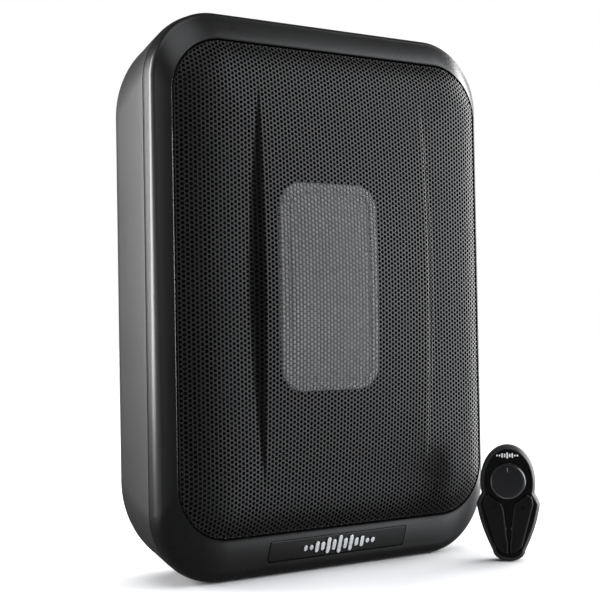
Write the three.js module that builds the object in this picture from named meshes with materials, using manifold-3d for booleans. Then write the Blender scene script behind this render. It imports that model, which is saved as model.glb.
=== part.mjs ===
// Powered under-seat car subwoofer with its bass remote, standing on its lower end.
// Millimetres, +Z up, the grille faces -Y. The origin is the centre of the flat base face.

import * as THREE from "three";
import { mergeVertices } from "three/addons/utils/BufferGeometryUtils.js";
import Module from "manifold-3d";

// ---------------------------------------------------------------- driving dimensions

const GAP = 0.3; // clearance kept between two pieces that touch
const CORNER_STEPS = 6; // facets on each rounded corner of an outline

// Enclosure, from front to back.
const BODY = { width: 250, height: 345, radius: 44, centreZ: 172.5 };
const WALL = 3;
const GRILLE_EDGE_Y = -36.5;
const FULL_Y = -19.5; // plane where the bezel's side wall reaches the full outline
const FOLD = { inward: 0.06, forward: 0.45 }; // shares of the way from there to the grille edge
const FACE_CROWN = 0.25;
const SEAM_Y = -17;
const REAR_ROLL_Y = 19.5;
const REAR_ROLL = 16;
const REAR = { ...BODY, radius: 60 }; // the outline where the rear roll starts
const BACK_Y = REAR_ROLL_Y + REAR_ROLL;

// Grille: a domed sheet with a raised centre panel between two lower wings.
const GRILLE = { width: 229, height: 297.6, radius: 33, centreZ: 177 };
const GRILLE_THICKNESS = 1.2;
const WING_DOME = 9.5;
const WING_EASE = 13;
const PANEL_HALF = 61.5;
const STEP_HEIGHT = 4.7;
const STEP_WIDTH = 9;
const STEP_HALF_LENGTH = 121;
const STEP_TAPER = 1.15;

// Baffle and racetrack driver.
const BAFFLE_FRONT_Y = -24;
const BAFFLE_BACK_Y = -21;
const DRIVER_Z = 177;
const DRIVER_HOLE = { width: 190, height: 254, radius: 62, centreZ: DRIVER_Z };
const FLANGE = { width: 212, height: 276, radius: 72, centreZ: DRIVER_Z };
const CONE = { width: 152, height: 216, radius: 50, centreZ: DRIVER_Z };
const PLATE = { width: 74.4, height: 131, radius: 16, centreZ: 178.6 };
const PLATE_FRONT_Y = -29.3;
const COIL_RADIUS = 25;
const SPIDER = { bore: 26.6, outer: 55, front: -7.9, wave: 1.2, thickness: 0.8 };

// Badge on the lower face of the bezel.
const BADGE = { width: 104, height: 13, thickness: 2, centreZ: 16.1, tiltDeg: 20.6 };

// Control panel in a well in the top end wall.
const WELL = { width: 150.6, depth: 28.6, centreY: 3, floorZ: 333 };
const PANEL_THICKNESS = 2.5;
const PANEL_TOP_Z = WELL.floorZ + PANEL_THICKNESS;
const DIALS = { gain_knob: 14, lowpass_knob: 28, boost_knob: 42 };
const RCA_JACKS = { rca_left: -15, rca_right: -1 };

// Remote, standing upright in front of the enclosure and turned towards the viewer.
const REMOTE = { x: 104.2, y: -76.2, turnDeg: -43, tipHalf: 10.8, tipTop: 4, wide: 20.3, wideZ: 36.8 };
const REMOTE_DOME = { centreZ: 51, halfWidth: 17.7, halfHeight: 23.6, startDeg: -18 };
const REMOTE_KNOB = { z: 51.8, radius: 11.6, front: -13.2, back: -6.8 };

// ---------------------------------------------------------------- materials

const finish = (color, roughness, metalness) =>
  new THREE.MeshStandardMaterial({ color, roughness, metalness });

const SATIN_BLACK = finish(0x1c1d1f, 0.5, 0.0);
const MATT_BLACK = finish(0x161616, 0.8, 0.0);
const GLOSS_BLACK = finish(0x0b0b0c, 0.15, 0.0);
const GRILLE_BLACK = finish(0x222325, 0.55, 0.3);
const ALUMINIUM = finish(0xb9bbbf, 0.35, 1.0);
const SPUN_METAL = finish(0xa9acb0, 0.25, 1.0);
const DIAPHRAGM = finish(0xb5b6b8, 0.6, 0.1);
const RUBBER = finish(0x141414, 0.85, 0.0);
const STEEL = finish(0x8a8c90, 0.4, 1.0);
const FERRITE = finish(0x2a2a2c, 0.7, 0.2);
const BOARD_GREEN = finish(0x1d5a34, 0.6, 0.0);
const COPPER = finish(0xb0703a, 0.4, 0.9);
const SPIDER_CLOTH = finish(0xb07b35, 0.9, 0.0);
const BRASS = finish(0xc2a14d, 0.3, 1.0);
const LED_LENS = finish(0x2456c8, 0.2, 0.0);

// ---------------------------------------------------------------- solids and shapes

const wasm = await Module();
wasm.setup();

/** A closed three.js geometry as a solid that can be cut and joined. */
function solid(geometry) {
  const plain = geometry.index ? geometry.toNonIndexed() : geometry.clone();
  plain.deleteAttribute("normal");
  plain.deleteAttribute("uv");
  const merged = mergeVertices(plain, 1e-3);
  const make = (triVerts) =>
    new wasm.Manifold(
      new wasm.Mesh({ numProp: 3, vertProperties: merged.attributes.position.array, triVerts }),
    );
  const made = make(new Uint32Array(merged.index.array));
  return made.volume() < 0 ? make(new Uint32Array(merged.index.array).reverse()) : made;
}

/** A solid's surface as a three.js geometry. */
function surface(made) {
  const data = made.getMesh();
  const geometry = new THREE.BufferGeometry();
  geometry.setAttribute("position", new THREE.BufferAttribute(new Float32Array(data.vertProperties), 3));
  geometry.setIndex(new THREE.BufferAttribute(new Uint32Array(data.triVerts), 1));
  return geometry;
}

const join = (...solids) => solids.reduce((all, one) => all.add(one));
const cut = (body, ...tools) => tools.reduce((rest, tool) => rest.subtract(tool), body);

/** The outline `edge` moved inwards by `by` on every side. */
function inset(edge, by) {
  return {
    width: edge.width - 2 * by,
    height: edge.height - 2 * by,
    radius: edge.radius - by,
    centreZ: edge.centreZ,
  };
}

/** The outline a share `t` of the way from outline `a` to outline `b`. */
function between(a, b, t) {
  const mix = (key) => a[key] + (b[key] - a[key]) * t;
  return { width: mix("width"), height: mix("height"), radius: mix("radius"), centreZ: mix("centreZ") };
}

/** A near-circular outline, sampled like the rounded rectangles so that both can share a skin. */
function round(radius, centreZ = DRIVER_Z) {
  return { width: 2 * radius, height: 2 * radius, radius: 0.97 * radius, centreZ };
}

/** Points [x, y, z] round a rounded rectangle that stands in the plane at `y`. */
function ring(edge, y) {
  const points = [];
  const corners = [[1, 1, 0], [-1, 1, 90], [-1, -1, 180], [1, -1, 270]];
  for (const [sideX, sideZ, start] of corners) {
    const cx = sideX * (edge.width / 2 - edge.radius);
    const cz = edge.centreZ + sideZ * (edge.height / 2 - edge.radius);
    for (let i = 0; i <= CORNER_STEPS; i++) {
      const angle = THREE.MathUtils.degToRad(start + (90 * i) / CORNER_STEPS);
      points.push([cx + edge.radius * Math.cos(angle), y, cz + edge.radius * Math.sin(angle)]);
    }
  }
  return points;
}

/** Closed skin through rings of points. Its ends are capped, or joined to each other in a loop. */
function loft(rings, loop = false) {
  const count = rings[0].length;
  const index = [];
  const spans = loop ? rings.length : rings.length - 1;
  for (let r = 0; r < spans; r++) {
    const here = r * count;
    const next = ((r + 1) % rings.length) * count;
    for (let i = 0; i < count; i++) {
      const j = (i + 1) % count;
      index.push(here + i, here + j, next + j, here + i, next + j, next + i);
    }
  }
  if (!loop) {
    const flat = (points) => points.map(([x, , z]) => new THREE.Vector2(x, z));
    const last = (rings.length - 1) * count;
    for (const [a, b, c] of THREE.ShapeUtils.triangulateShape(flat(rings[0]), [])) index.push(c, b, a);
    for (const [a, b, c] of THREE.ShapeUtils.triangulateShape(flat(rings.at(-1)), [])) {
      index.push(last + a, last + b, last + c);
    }
  }
  const geometry = new THREE.BufferGeometry();
  geometry.setAttribute("position", new THREE.Float32BufferAttribute(rings.flat(2), 3));
  geometry.setIndex(index);
  return solid(geometry);
}

/** A body swept round an outline: `profile` lists [outline, y] pairs of its closed section. */
const frame = (profile) => loft(profile.map(([edge, y]) => ring(edge, y)), true);

/** A plate of the closed (x, z) outline `points`, from y = `front` back to y = `back`. */
function plate(points, front, back) {
  return loft([front, back].map((y) => points.map(([x, z]) => [x, y, z])));
}

/** A block between two corners. */
function block([x0, y0, z0], [x1, y1, z1]) {
  const box = new THREE.BoxGeometry(x1 - x0, y1 - y0, z1 - z0);
  return solid(box.translate((x0 + x1) / 2, (y0 + y1) / 2, (z0 + z1) / 2));
}

/** A body turned about the Y axis through (x, z) from its closed section of [radius, y] points. */
function turnedY(section, x, z, segments = 24) {
  const points = [...section, section[0]].map(([r, y]) => new THREE.Vector2(r, y));
  return solid(new THREE.LatheGeometry(points, segments).translate(x, 0, z));
}

/** A body turned about the upright axis through (x, y) from its closed section of [radius, z] points. */
function turnedZ(section, x, y, segments = 16) {
  const points = [...section, section[0]].map(([r, z]) => new THREE.Vector2(r, z));
  return solid(new THREE.LatheGeometry(points, segments).rotateX(Math.PI / 2).translate(x, y, 0));
}

/** A round rod along Y. */
function rodY(radius, front, back, x, z, segments = 18) {
  const rod = new THREE.CylinderGeometry(radius, radius, back - front, segments);
  return solid(rod.translate(x, (front + back) / 2, z));
}

/** A round rod along Z. */
function rodZ(radius, low, high, x, y, segments = 18) {
  const rod = new THREE.CylinderGeometry(radius, radius, high - low, segments).rotateX(Math.PI / 2);
  return solid(rod.translate(x, y, (low + high) / 2));
}

const subwoofer = new THREE.Group();
const remote = new THREE.Group();

/** Adds one named piece to a group and returns its mesh. */
function piece(group, name, made, material) {
  const mesh = new THREE.Mesh(surface(made), material);
  mesh.name = name;
  group.add(mesh);
  return mesh;
}

// ---------------------------------------------------------------- enclosure

const OPENING = inset(GRILLE, -1);
const HOUSING_SCREWS = [[-95, 36], [95, 36], [-95, 309], [95, 309]];
const BOSS_FRONT_Y = -15;

/** Outline and y of the bezel's front face, from its fold (t = 0) to the grille edge (t = 1). */
function bezelFace(t) {
  const inward = FOLD.inward + (1 - FOLD.inward) * t;
  const forward = FOLD.forward + (1 - FOLD.forward) * (t + FACE_CROWN * t * (1 - t));
  return [between(BODY, OPENING, inward), FULL_Y + (GRILLE_EDGE_Y - FULL_Y) * forward];
}

/** Place of height z on the lower face, as the t of bezelFace. */
function faceShareAt(z) {
  const inward = z / (OPENING.centreZ - OPENING.height / 2);
  return (inward - FOLD.inward) / (1 - FOLD.inward);
}

/** The badge's slab, moved to its tilted place on the lower roll and grown by `grow` on every side. */
function badgeSlab(grow) {
  const { width, height, thickness } = BADGE;
  const box = new THREE.BoxGeometry(width + 2 * grow, thickness + 2 * grow, height + 2 * grow);
  return solid(box.rotateX(THREE.MathUtils.degToRad(BADGE.tiltDeg)).translate(...badgePoint(-1)));
}

/** A point `out` mm in front of the badge's face, on its centre line. */
function badgePoint(out) {
  const tilt = THREE.MathUtils.degToRad(BADGE.tiltDeg);
  const [, faceY] = bezelFace(faceShareAt(BADGE.centreZ));
  return [0, faceY - out * Math.cos(tilt), BADGE.centreZ - out * Math.sin(tilt)];
}

function frontBezel() {
  const face = [0.04, 0.25, 0.5, 0.75, 1].map(bezelFace);
  const shell = frame([
    [BODY, SEAM_Y - GAP / 2],
    [BODY, FULL_Y],
    [between(BODY, OPENING, FOLD.inward * 0.6), bezelFace(0)[1] + 1],
    ...face,
    [OPENING, BAFFLE_FRONT_Y],
    [DRIVER_HOLE, BAFFLE_FRONT_Y],
    [DRIVER_HOLE, BAFFLE_BACK_Y],
    [inset(BODY, WALL), BAFFLE_BACK_Y],
    [inset(BODY, WALL), SEAM_Y - GAP / 2],
  ]);
  const bosses = HOUSING_SCREWS.map(([x, z]) => rodY(5, BAFFLE_BACK_Y - 1, BOSS_FRONT_Y - GAP, x, z));
  const holes = HOUSING_SCREWS.map(([x, z]) => rodY(1.8, -20.6, 0, x, z, 12));
  const driverHoles = driverScrewPlaces().map(([x, z]) => rodY(1.8, -30, -10, x, z, 12));
  return cut(join(shell, ...bosses), ...holes, ...driverHoles, badgeSlab(GAP));
}

function rearHousing() {
  const rolled = (steps, start, radius) =>
    steps.map((deg) => {
      const angle = THREE.MathUtils.degToRad(deg);
      return [inset(REAR, start + radius * (1 - Math.cos(angle))), REAR_ROLL_Y + radius * Math.sin(angle)];
    });
  const shell = loft(
    [
      ...rolled([90, 67.5, 45, 22.5, 0], 0, REAR_ROLL),
      [BODY, SEAM_Y + GAP / 2],
      [inset(BODY, WALL), SEAM_Y + GAP / 2],
      ...rolled([0, 30, 60, 90], WALL, REAR_ROLL - WALL),
    ].map(([edge, y]) => ring(edge, y)),
  );
  const { width, depth, centreY, floorZ } = WELL;
  const wellBox = (grow, low, high) =>
    block(
      [-width / 2 - grow, centreY - depth / 2 - grow, low],
      [width / 2 + grow, centreY + depth / 2 + grow, high],
    );
  const bosses = HOUSING_SCREWS.map(([x, z]) => rodY(6, BOSS_FRONT_Y, BACK_Y - 2, x, z));
  const holes = HOUSING_SCREWS.map(([x, z]) => rodY(1.8, -30, BACK_Y + 1, x, z, 12));
  const sinks = HOUSING_SCREWS.map(([x, z]) => rodY(4.2, BACK_Y - 3.6, BACK_Y + 1, x, z));
  const sinkWindow = block(
    [-SINK.half - GAP, BACK_Y - 6, SINK.low - GAP],
    [SINK.half + GAP, BACK_Y + 1, SINK.high + GAP],
  );
  const body = join(shell, wellBox(3, floorZ - 0.5, BODY.height - 1), ...bosses);
  return cut(body, wellBox(0, floorZ - 2, BODY.height + 1), ...holes, ...sinks, sinkWindow);
}

// ---------------------------------------------------------------- grille

/** Share of the step's full height at height z: one at mid-height, nothing at the crescent's two tips. */
function stepShare(z) {
  const along = (z - GRILLE.centreZ - 2) / STEP_HALF_LENGTH;
  return Math.max(0, 1 - along * along) ** STEP_TAPER;
}

/** Distance from (x, z) in to the grille's outline. */
function edgeDistance(x, z) {
  const dx = Math.abs(x) - (GRILLE.width / 2 - GRILLE.radius);
  const dz = Math.abs(z - GRILLE.centreZ) - (GRILLE.height / 2 - GRILLE.radius);
  const outside = Math.hypot(Math.max(dx, 0), Math.max(dz, 0)) + Math.min(Math.max(dx, dz), 0);
  return Math.max(0, GRILLE.radius - outside);
}

/** y of the grille's front surface: a dome that eases off from the edge, plus the raised panel. */
function grilleFront(x, z) {
  const dome = WING_DOME * (1 - Math.exp(-edgeDistance(x, z) / WING_EASE));
  const beyond = (Math.abs(x) - PANEL_HALF) / (STEP_WIDTH * stepShare(z) + 0.01);
  const raised = STEP_HEIGHT * stepShare(z) * THREE.MathUtils.clamp(1 - beyond, 0, 1);
  const crown = 1.2 * Math.max(0, 1 - (x / PANEL_HALF) ** 2) * stepShare(z);
  return GRILLE_EDGE_Y - dome - raised - crown;
}

/** Height of the top edge above the outline's centre, at distance `across` from the centre line. */
function halfHeightAt(edge, across) {
  const past = Math.max(0, across - (edge.width / 2 - edge.radius));
  return edge.height / 2 - edge.radius + Math.sqrt(Math.max(0, edge.radius ** 2 - past ** 2));
}

/** One domed sheet with its turned-back skirt, as a closed skin of two grids and the skirt between. */
function grilleSheet() {
  const rows = 16;
  const halves = [0, 22, 43, PANEL_HALF, "step", 82, 94, 104, 110.5, GRILLE.width / 2];
  const columns = [...halves.slice(1).reverse().map((h) => [h, -1]), ...halves.map((h) => [h, 1])];
  const positions = [];
  const layer = (by, lift) => {
    const edge = inset(GRILLE, by);
    const scale = edge.width / GRILLE.width;
    return columns.map(([half, side]) =>
      Array.from({ length: rows + 1 }, (_, j) => {
        const v = (2 * j) / rows - 1;
        const z0 = GRILLE.centreZ + (v * GRILLE.height) / 2;
        const wide = (half === "step" ? PANEL_HALF + 0.5 + STEP_WIDTH * stepShare(z0) : half) * scale;
        const z = GRILLE.centreZ + v * halfHeightAt(edge, wide);
        const x = side * wide;
        positions.push(x, grilleFront(x / scale, z) + lift, z);
        return positions.length / 3 - 1;
      }),
    );
  };
  const rim = (grid) => [
    ...grid.map((column) => column[0]),
    ...grid.at(-1).slice(1),
    ...grid.slice(0, -1).reverse().map((column) => column[rows]),
    ...grid[0].slice(1, -1).reverse(),
  ];
  const outer = layer(0, 0);
  const inner = layer(GRILLE_THICKNESS, GRILLE_THICKNESS);
  const index = [];
  const quad = (a, b, c, d) => index.push(a, b, c, a, c, d);
  for (let i = 0; i + 1 < columns.length; i++) {
    for (let j = 0; j < rows; j++) {
      quad(outer[i][j], outer[i + 1][j], outer[i + 1][j + 1], outer[i][j + 1]);
      quad(inner[i][j + 1], inner[i + 1][j + 1], inner[i + 1][j], inner[i][j]);
    }
  }
  const skirtY = BAFFLE_FRONT_Y - GAP;
  const dropped = (loop) =>
    loop.map((k) => {
      positions.push(positions[3 * k], skirtY, positions[3 * k + 2]);
      return positions.length / 3 - 1;
    });
  const outerRim = rim(outer);
  const innerRim = rim(inner);
  const bands = [outerRim, dropped(outerRim), dropped(innerRim), innerRim];
  for (let b = 0; b < 3; b++) {
    outerRim.forEach((_, k) => {
      const n = (k + 1) % outerRim.length;
      quad(bands[b][n], bands[b][k], bands[b + 1][k], bands[b + 1][n]);
    });
  }
  const geometry = new THREE.BufferGeometry();
  geometry.setAttribute("position", new THREE.Float32BufferAttribute(positions, 3));
  geometry.setIndex(index);
  return solid(geometry);
}

// ---------------------------------------------------------------- driver

/** Centres of the six screws that hold the driver's flange. */
function driverScrewPlaces() {
  const along = (FLANGE.radius - 4.5) * Math.SQRT1_2;
  const x = FLANGE.width / 2 - FLANGE.radius + along;
  const z = FLANGE.height / 2 - FLANGE.radius + along;
  const side = FLANGE.width / 2 - 4.5;
  return [[-x, -z], [x, -z], [-side, 0], [side, 0], [-x, z], [x, z]].map(([dx, dz]) => [dx, DRIVER_Z + dz]);
}

const FLANGE_FRONT_Y = BAFFLE_FRONT_Y - 2.5;
const MOTOR_Y = -0.8; // back face of the basket's lower ring

function basket() {
  const shell = frame([
    [FLANGE, FLANGE_FRONT_Y],
    [FLANGE, BAFFLE_FRONT_Y - GAP],
    [inset(FLANGE, 12.5), BAFFLE_FRONT_Y - GAP],
    [inset(FLANGE, 13.5), -15],
    [round(62), MOTOR_Y - 2.2],
    [round(62), MOTOR_Y],
    [round(30), MOTOR_Y],
    [round(30), MOTOR_Y - 2.2],
    [round(59), MOTOR_Y - 2.8],
    [inset(FLANGE, 15.5), -15.8],
    [inset(FLANGE, 14.5), FLANGE_FRONT_Y],
  ]);
  const windows = [];
  for (let k = 0; k < 8; k++) {
    const box = new THREE.BoxGeometry(34, 15, 60).translate(0, -11.5, 98);
    box.rotateY(((k + 0.5) * Math.PI) / 4).translate(0, 0, DRIVER_Z);
    windows.push(solid(box));
  }
  const holes = driverScrewPlaces().map(([x, z]) => rodY(1.8, -40, -20, x, z, 12));
  return cut(shell, ...windows, ...holes);
}

function gasket() {
  return frame([
    [inset(FLANGE, 9), FLANGE_FRONT_Y - 1.8],
    [inset(FLANGE, 9), FLANGE_FRONT_Y - GAP],
    [inset(FLANGE, 14.2), FLANGE_FRONT_Y - GAP],
    [inset(FLANGE, 14.2), FLANGE_FRONT_Y - 1.8],
  ]);
}

/** The rubber half roll between the flange and the cone. */
function surround() {
  const outer = inset(FLANGE, 15);
  const inner = inset(CONE, -0.5);
  const arc = (radius) =>
    [0, 36, 72, 108, 144, 180].map((deg) => {
      const angle = THREE.MathUtils.degToRad(deg);
      return [0.5 - (0.5 * radius * Math.cos(angle)) / 7, -26.6 - radius * Math.sin(angle)];
    });
  const section = [...arc(7), ...arc(6).reverse()];
  return frame(section.map(([share, y]) => [between(outer, inner, share), y]));
}

function cone() {
  const flat = { width: 94, height: 150, radius: 26, centreZ: DRIVER_Z };
  return frame([
    [CONE, -27],
    [flat, -18.6],
    [round(20), -18.6],
    [round(20), -17.4],
    [flat, -17.4],
    [CONE, -25.8],
  ]);
}

/** The raised flat plate in the middle of the diaphragm, with sloping side walls. */
function centrePlate() {
  return loft([
    ring(inset(PLATE, 1.2), PLATE_FRONT_Y),
    ring(PLATE, PLATE_FRONT_Y + 0.8),
    ring(inset(PLATE, -5), -18.9),
  ]);
}

function spider() {
  const waves = [29.5, 34.5, 39.5, 44.5, 49.5];
  const front = waves.map((r, i) => [r, SPIDER.front - (i % 2) * SPIDER.wave]);
  const back = front.map(([r, y]) => [r, y + SPIDER.thickness]).reverse();
  const flat = SPIDER.front - SPIDER.wave / 6;
  return turnedY(
    [
      [SPIDER.bore, flat], ...front, [SPIDER.outer, flat],
      [SPIDER.outer, flat + SPIDER.thickness], ...back, [SPIDER.bore, flat + SPIDER.thickness],
    ],
    0,
    DRIVER_Z,
  );
}

const tubeY = (outer, inner, front, back) =>
  turnedY([[inner, front], [outer, front], [outer, back], [inner, back]], 0, DRIVER_Z);

function backPlate() {
  const section = [[0, -2], [24.2, -2], [24.2, 20.2], [57, 20.2], [57, 26.2], [0, 26.2]];
  return turnedY(section, 0, DRIVER_Z);
}

/** A pan-head screw along Y: its head stands in front, its shank runs back to `tip`. */
function screwAlongY(headRadius, headFront, headBack, tip, x, z) {
  const section = [
    [0, headFront], [headRadius, headFront], [headRadius, headBack], [1.4, headBack], [1.4, tip], [0, tip],
  ];
  return turnedY(section, x, z, 12);
}

// ---------------------------------------------------------------- amplifier

const SINK = { half: 74, low: 248, high: 322, flange: 4 };

/** Finned plate in the back wall: its flange bears on the wall's inside, its fins end flush outside. */
function heatSink() {
  const { half, low, high, flange } = SINK;
  const inner = BACK_Y - WALL - GAP;
  const base = block([-half - flange, inner - 2.6, low - flange], [half + flange, inner, high + flange]);
  const fins = block([-half, inner - 1, low], [half, BACK_Y - 0.2, high]);
  const slots = [];
  for (let z = low + 4.2; z < high - 6; z += 6) {
    slots.push(block([-half - 1, inner + 0.6, z], [half + 1, BACK_Y + 1, z + 3.4]));
  }
  return cut(join(base, fins), ...slots);
}

const BOARD_Y = 21.8;

function addAmplifier() {
  piece(subwoofer, "heat_sink", heatSink(), ALUMINIUM);
  piece(subwoofer, "amp_board", block([-80, BOARD_Y, 250], [80, BOARD_Y + 1.6, 317]), BOARD_GREEN);
  const onBoard = BOARD_Y - GAP;
  [-52, -30].forEach((x, i) =>
    piece(subwoofer, `capacitor_${i + 1}`, rodY(9, 1.5, onBoard, x, 284, 20), GLOSS_BLACK),
  );
  const coil = [[6, onBoard - 11], [13, onBoard - 11], [13, onBoard], [6, onBoard]];
  piece(subwoofer, "inductor", turnedY(coil, 2, 284, 20), COPPER);
  const pads = block([-60, BOARD_Y + 1.6 + GAP, 260], [60, BACK_Y - WALL - 2 * GAP - 2.6, 272]);
  piece(subwoofer, "transistor_bank", pads, MATT_BLACK);
}

// ---------------------------------------------------------------- control panel

/** The blocks that stand through the panel: x range, y range, z range and the cavity open at the top. */
const SOCKETS = {
  power_socket: { x: [-73, -47], y: [-4, 10], z: [321, 342], cavity: { wall: 2.3, depth: 12 } },
  high_level_socket: { x: [-44, -24], y: [-3, 9], z: [323, 341], cavity: { wall: 1.8, depth: 10 } },
};
const SWITCH = { x: [50, 58], y: [-4, 10], z: [328, 337] };
const LED = { x: 54, y: 13.6 };
const LINK_JACK = { x: 67, y: 3 };

function controlPanel() {
  const { width, depth, centreY, floorZ } = WELL;
  const slab = block(
    [-width / 2 + GAP, centreY - depth / 2 + GAP, floorZ],
    [width / 2 - GAP, centreY + depth / 2 - GAP, PANEL_TOP_Z],
  );
  const through = ({ x, y }) =>
    block([x[0] - GAP, y[0] - GAP, floorZ - 1], [x[1] + GAP, y[1] + GAP, PANEL_TOP_Z + 1]);
  const bore = (radius, x, y) => rodZ(radius, floorZ - 1, PANEL_TOP_Z + 1, x, y);
  return cut(
    slab,
    ...[...Object.values(SOCKETS), SWITCH].map(through),
    ...Object.values(RCA_JACKS).map((x) => bore(3.8, x, centreY)),
    ...Object.values(DIALS).map((x) => bore(1.9, x, centreY)),
    bore(1.8, LED.x, LED.y),
    bore(3.8, LINK_JACK.x, LINK_JACK.y),
  );
}

/** A connector shell with a cavity that opens upwards. */
function connector({ x, y, z, cavity }) {
  const { wall, depth } = cavity;
  const shell = block([x[0], y[0], z[0]], [x[1], y[1], z[1]]);
  return cut(shell, block([x[0] + wall, y[0] + wall, z[1] - depth], [x[1] - wall, y[1] - wall, z[1] + 1]));
}

/** A round jack: a nut on the panel, a barrel above it, a shank below it and a blind hole. */
function roundJack(barrel, top, hole, x) {
  const seat = PANEL_TOP_Z + GAP;
  const section = [
    [0, 324], [3.5, 324], [3.5, seat], [5.8, seat], [5.8, seat + 1.8], [barrel, seat + 1.8],
    [barrel, top], [hole, top], [hole, top - 12], [0, top - 12],
  ];
  return turnedZ(section, x, WELL.centreY);
}

function addControls() {
  piece(subwoofer, "control_panel", controlPanel(), SATIN_BLACK);
  for (const [name, place] of Object.entries(SOCKETS)) {
    piece(subwoofer, name, connector(place), MATT_BLACK);
  }
  for (const [name, x] of Object.entries(RCA_JACKS)) {
    piece(subwoofer, name, roundJack(4.1, 344, 1.6, x), BRASS);
  }
  piece(subwoofer, "remote_socket", roundJack(3.4, 341, 1.8, LINK_JACK.x), MATT_BLACK);
  for (const [name, x] of Object.entries(DIALS)) {
    const section = [
      [0, 328], [1.6, 328], [1.6, PANEL_TOP_Z + 0.7], [4.6, PANEL_TOP_Z + 0.7], [4.4, 342.5], [0, 342.5],
    ];
    piece(subwoofer, name, turnedZ(section, x, WELL.centreY), MATT_BLACK);
  }
  const body = block([SWITCH.x[0], SWITCH.y[0], SWITCH.z[0]], [SWITCH.x[1], SWITCH.y[1], SWITCH.z[1]]);
  const slot = block([52.2, -1.7, 332], [55.8, 7.7, SWITCH.z[1] + 1]);
  piece(subwoofer, "phase_switch_body", cut(body, slot), MATT_BLACK);
  piece(subwoofer, "phase_slider", block([52.6, -1.2, 332.4], [55.4, 2.8, 340.5]), SATIN_BLACK);
  piece(subwoofer, "power_led", rodZ(1.5, 331, PANEL_TOP_Z + 1.2, LED.x, LED.y, 14), LED_LENS);
}

// ---------------------------------------------------------------- remote

/** Right-hand half of the remote's outline, from the tip at the bottom to the top of the dome. */
function remoteHalf() {
  const points = [];
  for (let i = 1; i <= 4; i++) {
    const angle = (i * Math.PI) / 8;
    points.push([REMOTE.tipHalf * Math.sin(angle), REMOTE.tipTop * (1 - Math.cos(angle))]);
  }
  const flank = REMOTE.wideZ - REMOTE.tipTop;
  for (let i = 1; i <= 4; i++) {
    const t = i / 4;
    const bow = 1.3 * Math.sin(Math.PI * t);
    points.push([REMOTE.tipHalf + (REMOTE.wide - REMOTE.tipHalf) * t + bow, REMOTE.tipTop + flank * t]);
  }
  points.push([REMOTE.wide - 0.9, REMOTE.wideZ + 3]);
  const { centreZ, halfWidth, halfHeight, startDeg } = REMOTE_DOME;
  for (let i = 0; i < 8; i++) {
    const angle = THREE.MathUtils.degToRad(startDeg + ((90 - startDeg) * i) / 8);
    points.push([halfWidth * Math.cos(angle) + (i ? 0 : 0.5), centreZ + halfHeight * Math.sin(angle)]);
  }
  return points;
}

/** The remote's whole outline, with every corner moved inwards by `by`. */
function remoteOutline(by = 0) {
  const right = remoteHalf();
  const left = right.map(([x, z]) => [-x, z]).reverse();
  const loop = [[0, 0], ...right, [0, REMOTE_DOME.centreZ + REMOTE_DOME.halfHeight], ...left];
  return offset(loop, by);
}

/** A closed (x, z) loop with each corner moved to the left of its run, which is inwards, by `by`. */
function offset(loop, by) {
  return loop.map(([x, z], i) => {
    const [px, pz] = loop[(i + loop.length - 1) % loop.length];
    const [nx, nz] = loop[(i + 1) % loop.length];
    const before = new THREE.Vector2(x - px, z - pz).normalize();
    const after = new THREE.Vector2(nx - x, nz - z).normalize();
    const normal = new THREE.Vector2(-before.y - after.y, before.x + after.x).normalize();
    const spread = by / Math.max(0.6, normal.dot(new THREE.Vector2(-after.y, after.x)));
    return [x + normal.x * spread, z + normal.y * spread];
  });
}

const remoteRing = (by, y) => remoteOutline(by).map(([x, z]) => [x, y, z]);

/** Outline of the key on the side `side` (1 right, -1 left), in the running sense of the remote's outline. */
function keyOutline(side) {
  const right = [
    [0.5, 4.8], [4.4, 5.6], [8.2, 9.2], [16, 36.8], [15.2, 41.6],
    [11.8, 43.4], [4.8, 37.8], [3, 33.4], [1, 13.6], [0.5, 12.6],
  ];
  return side > 0 ? right : right.map(([x, z]) => [-x, z]).reverse();
}

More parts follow.
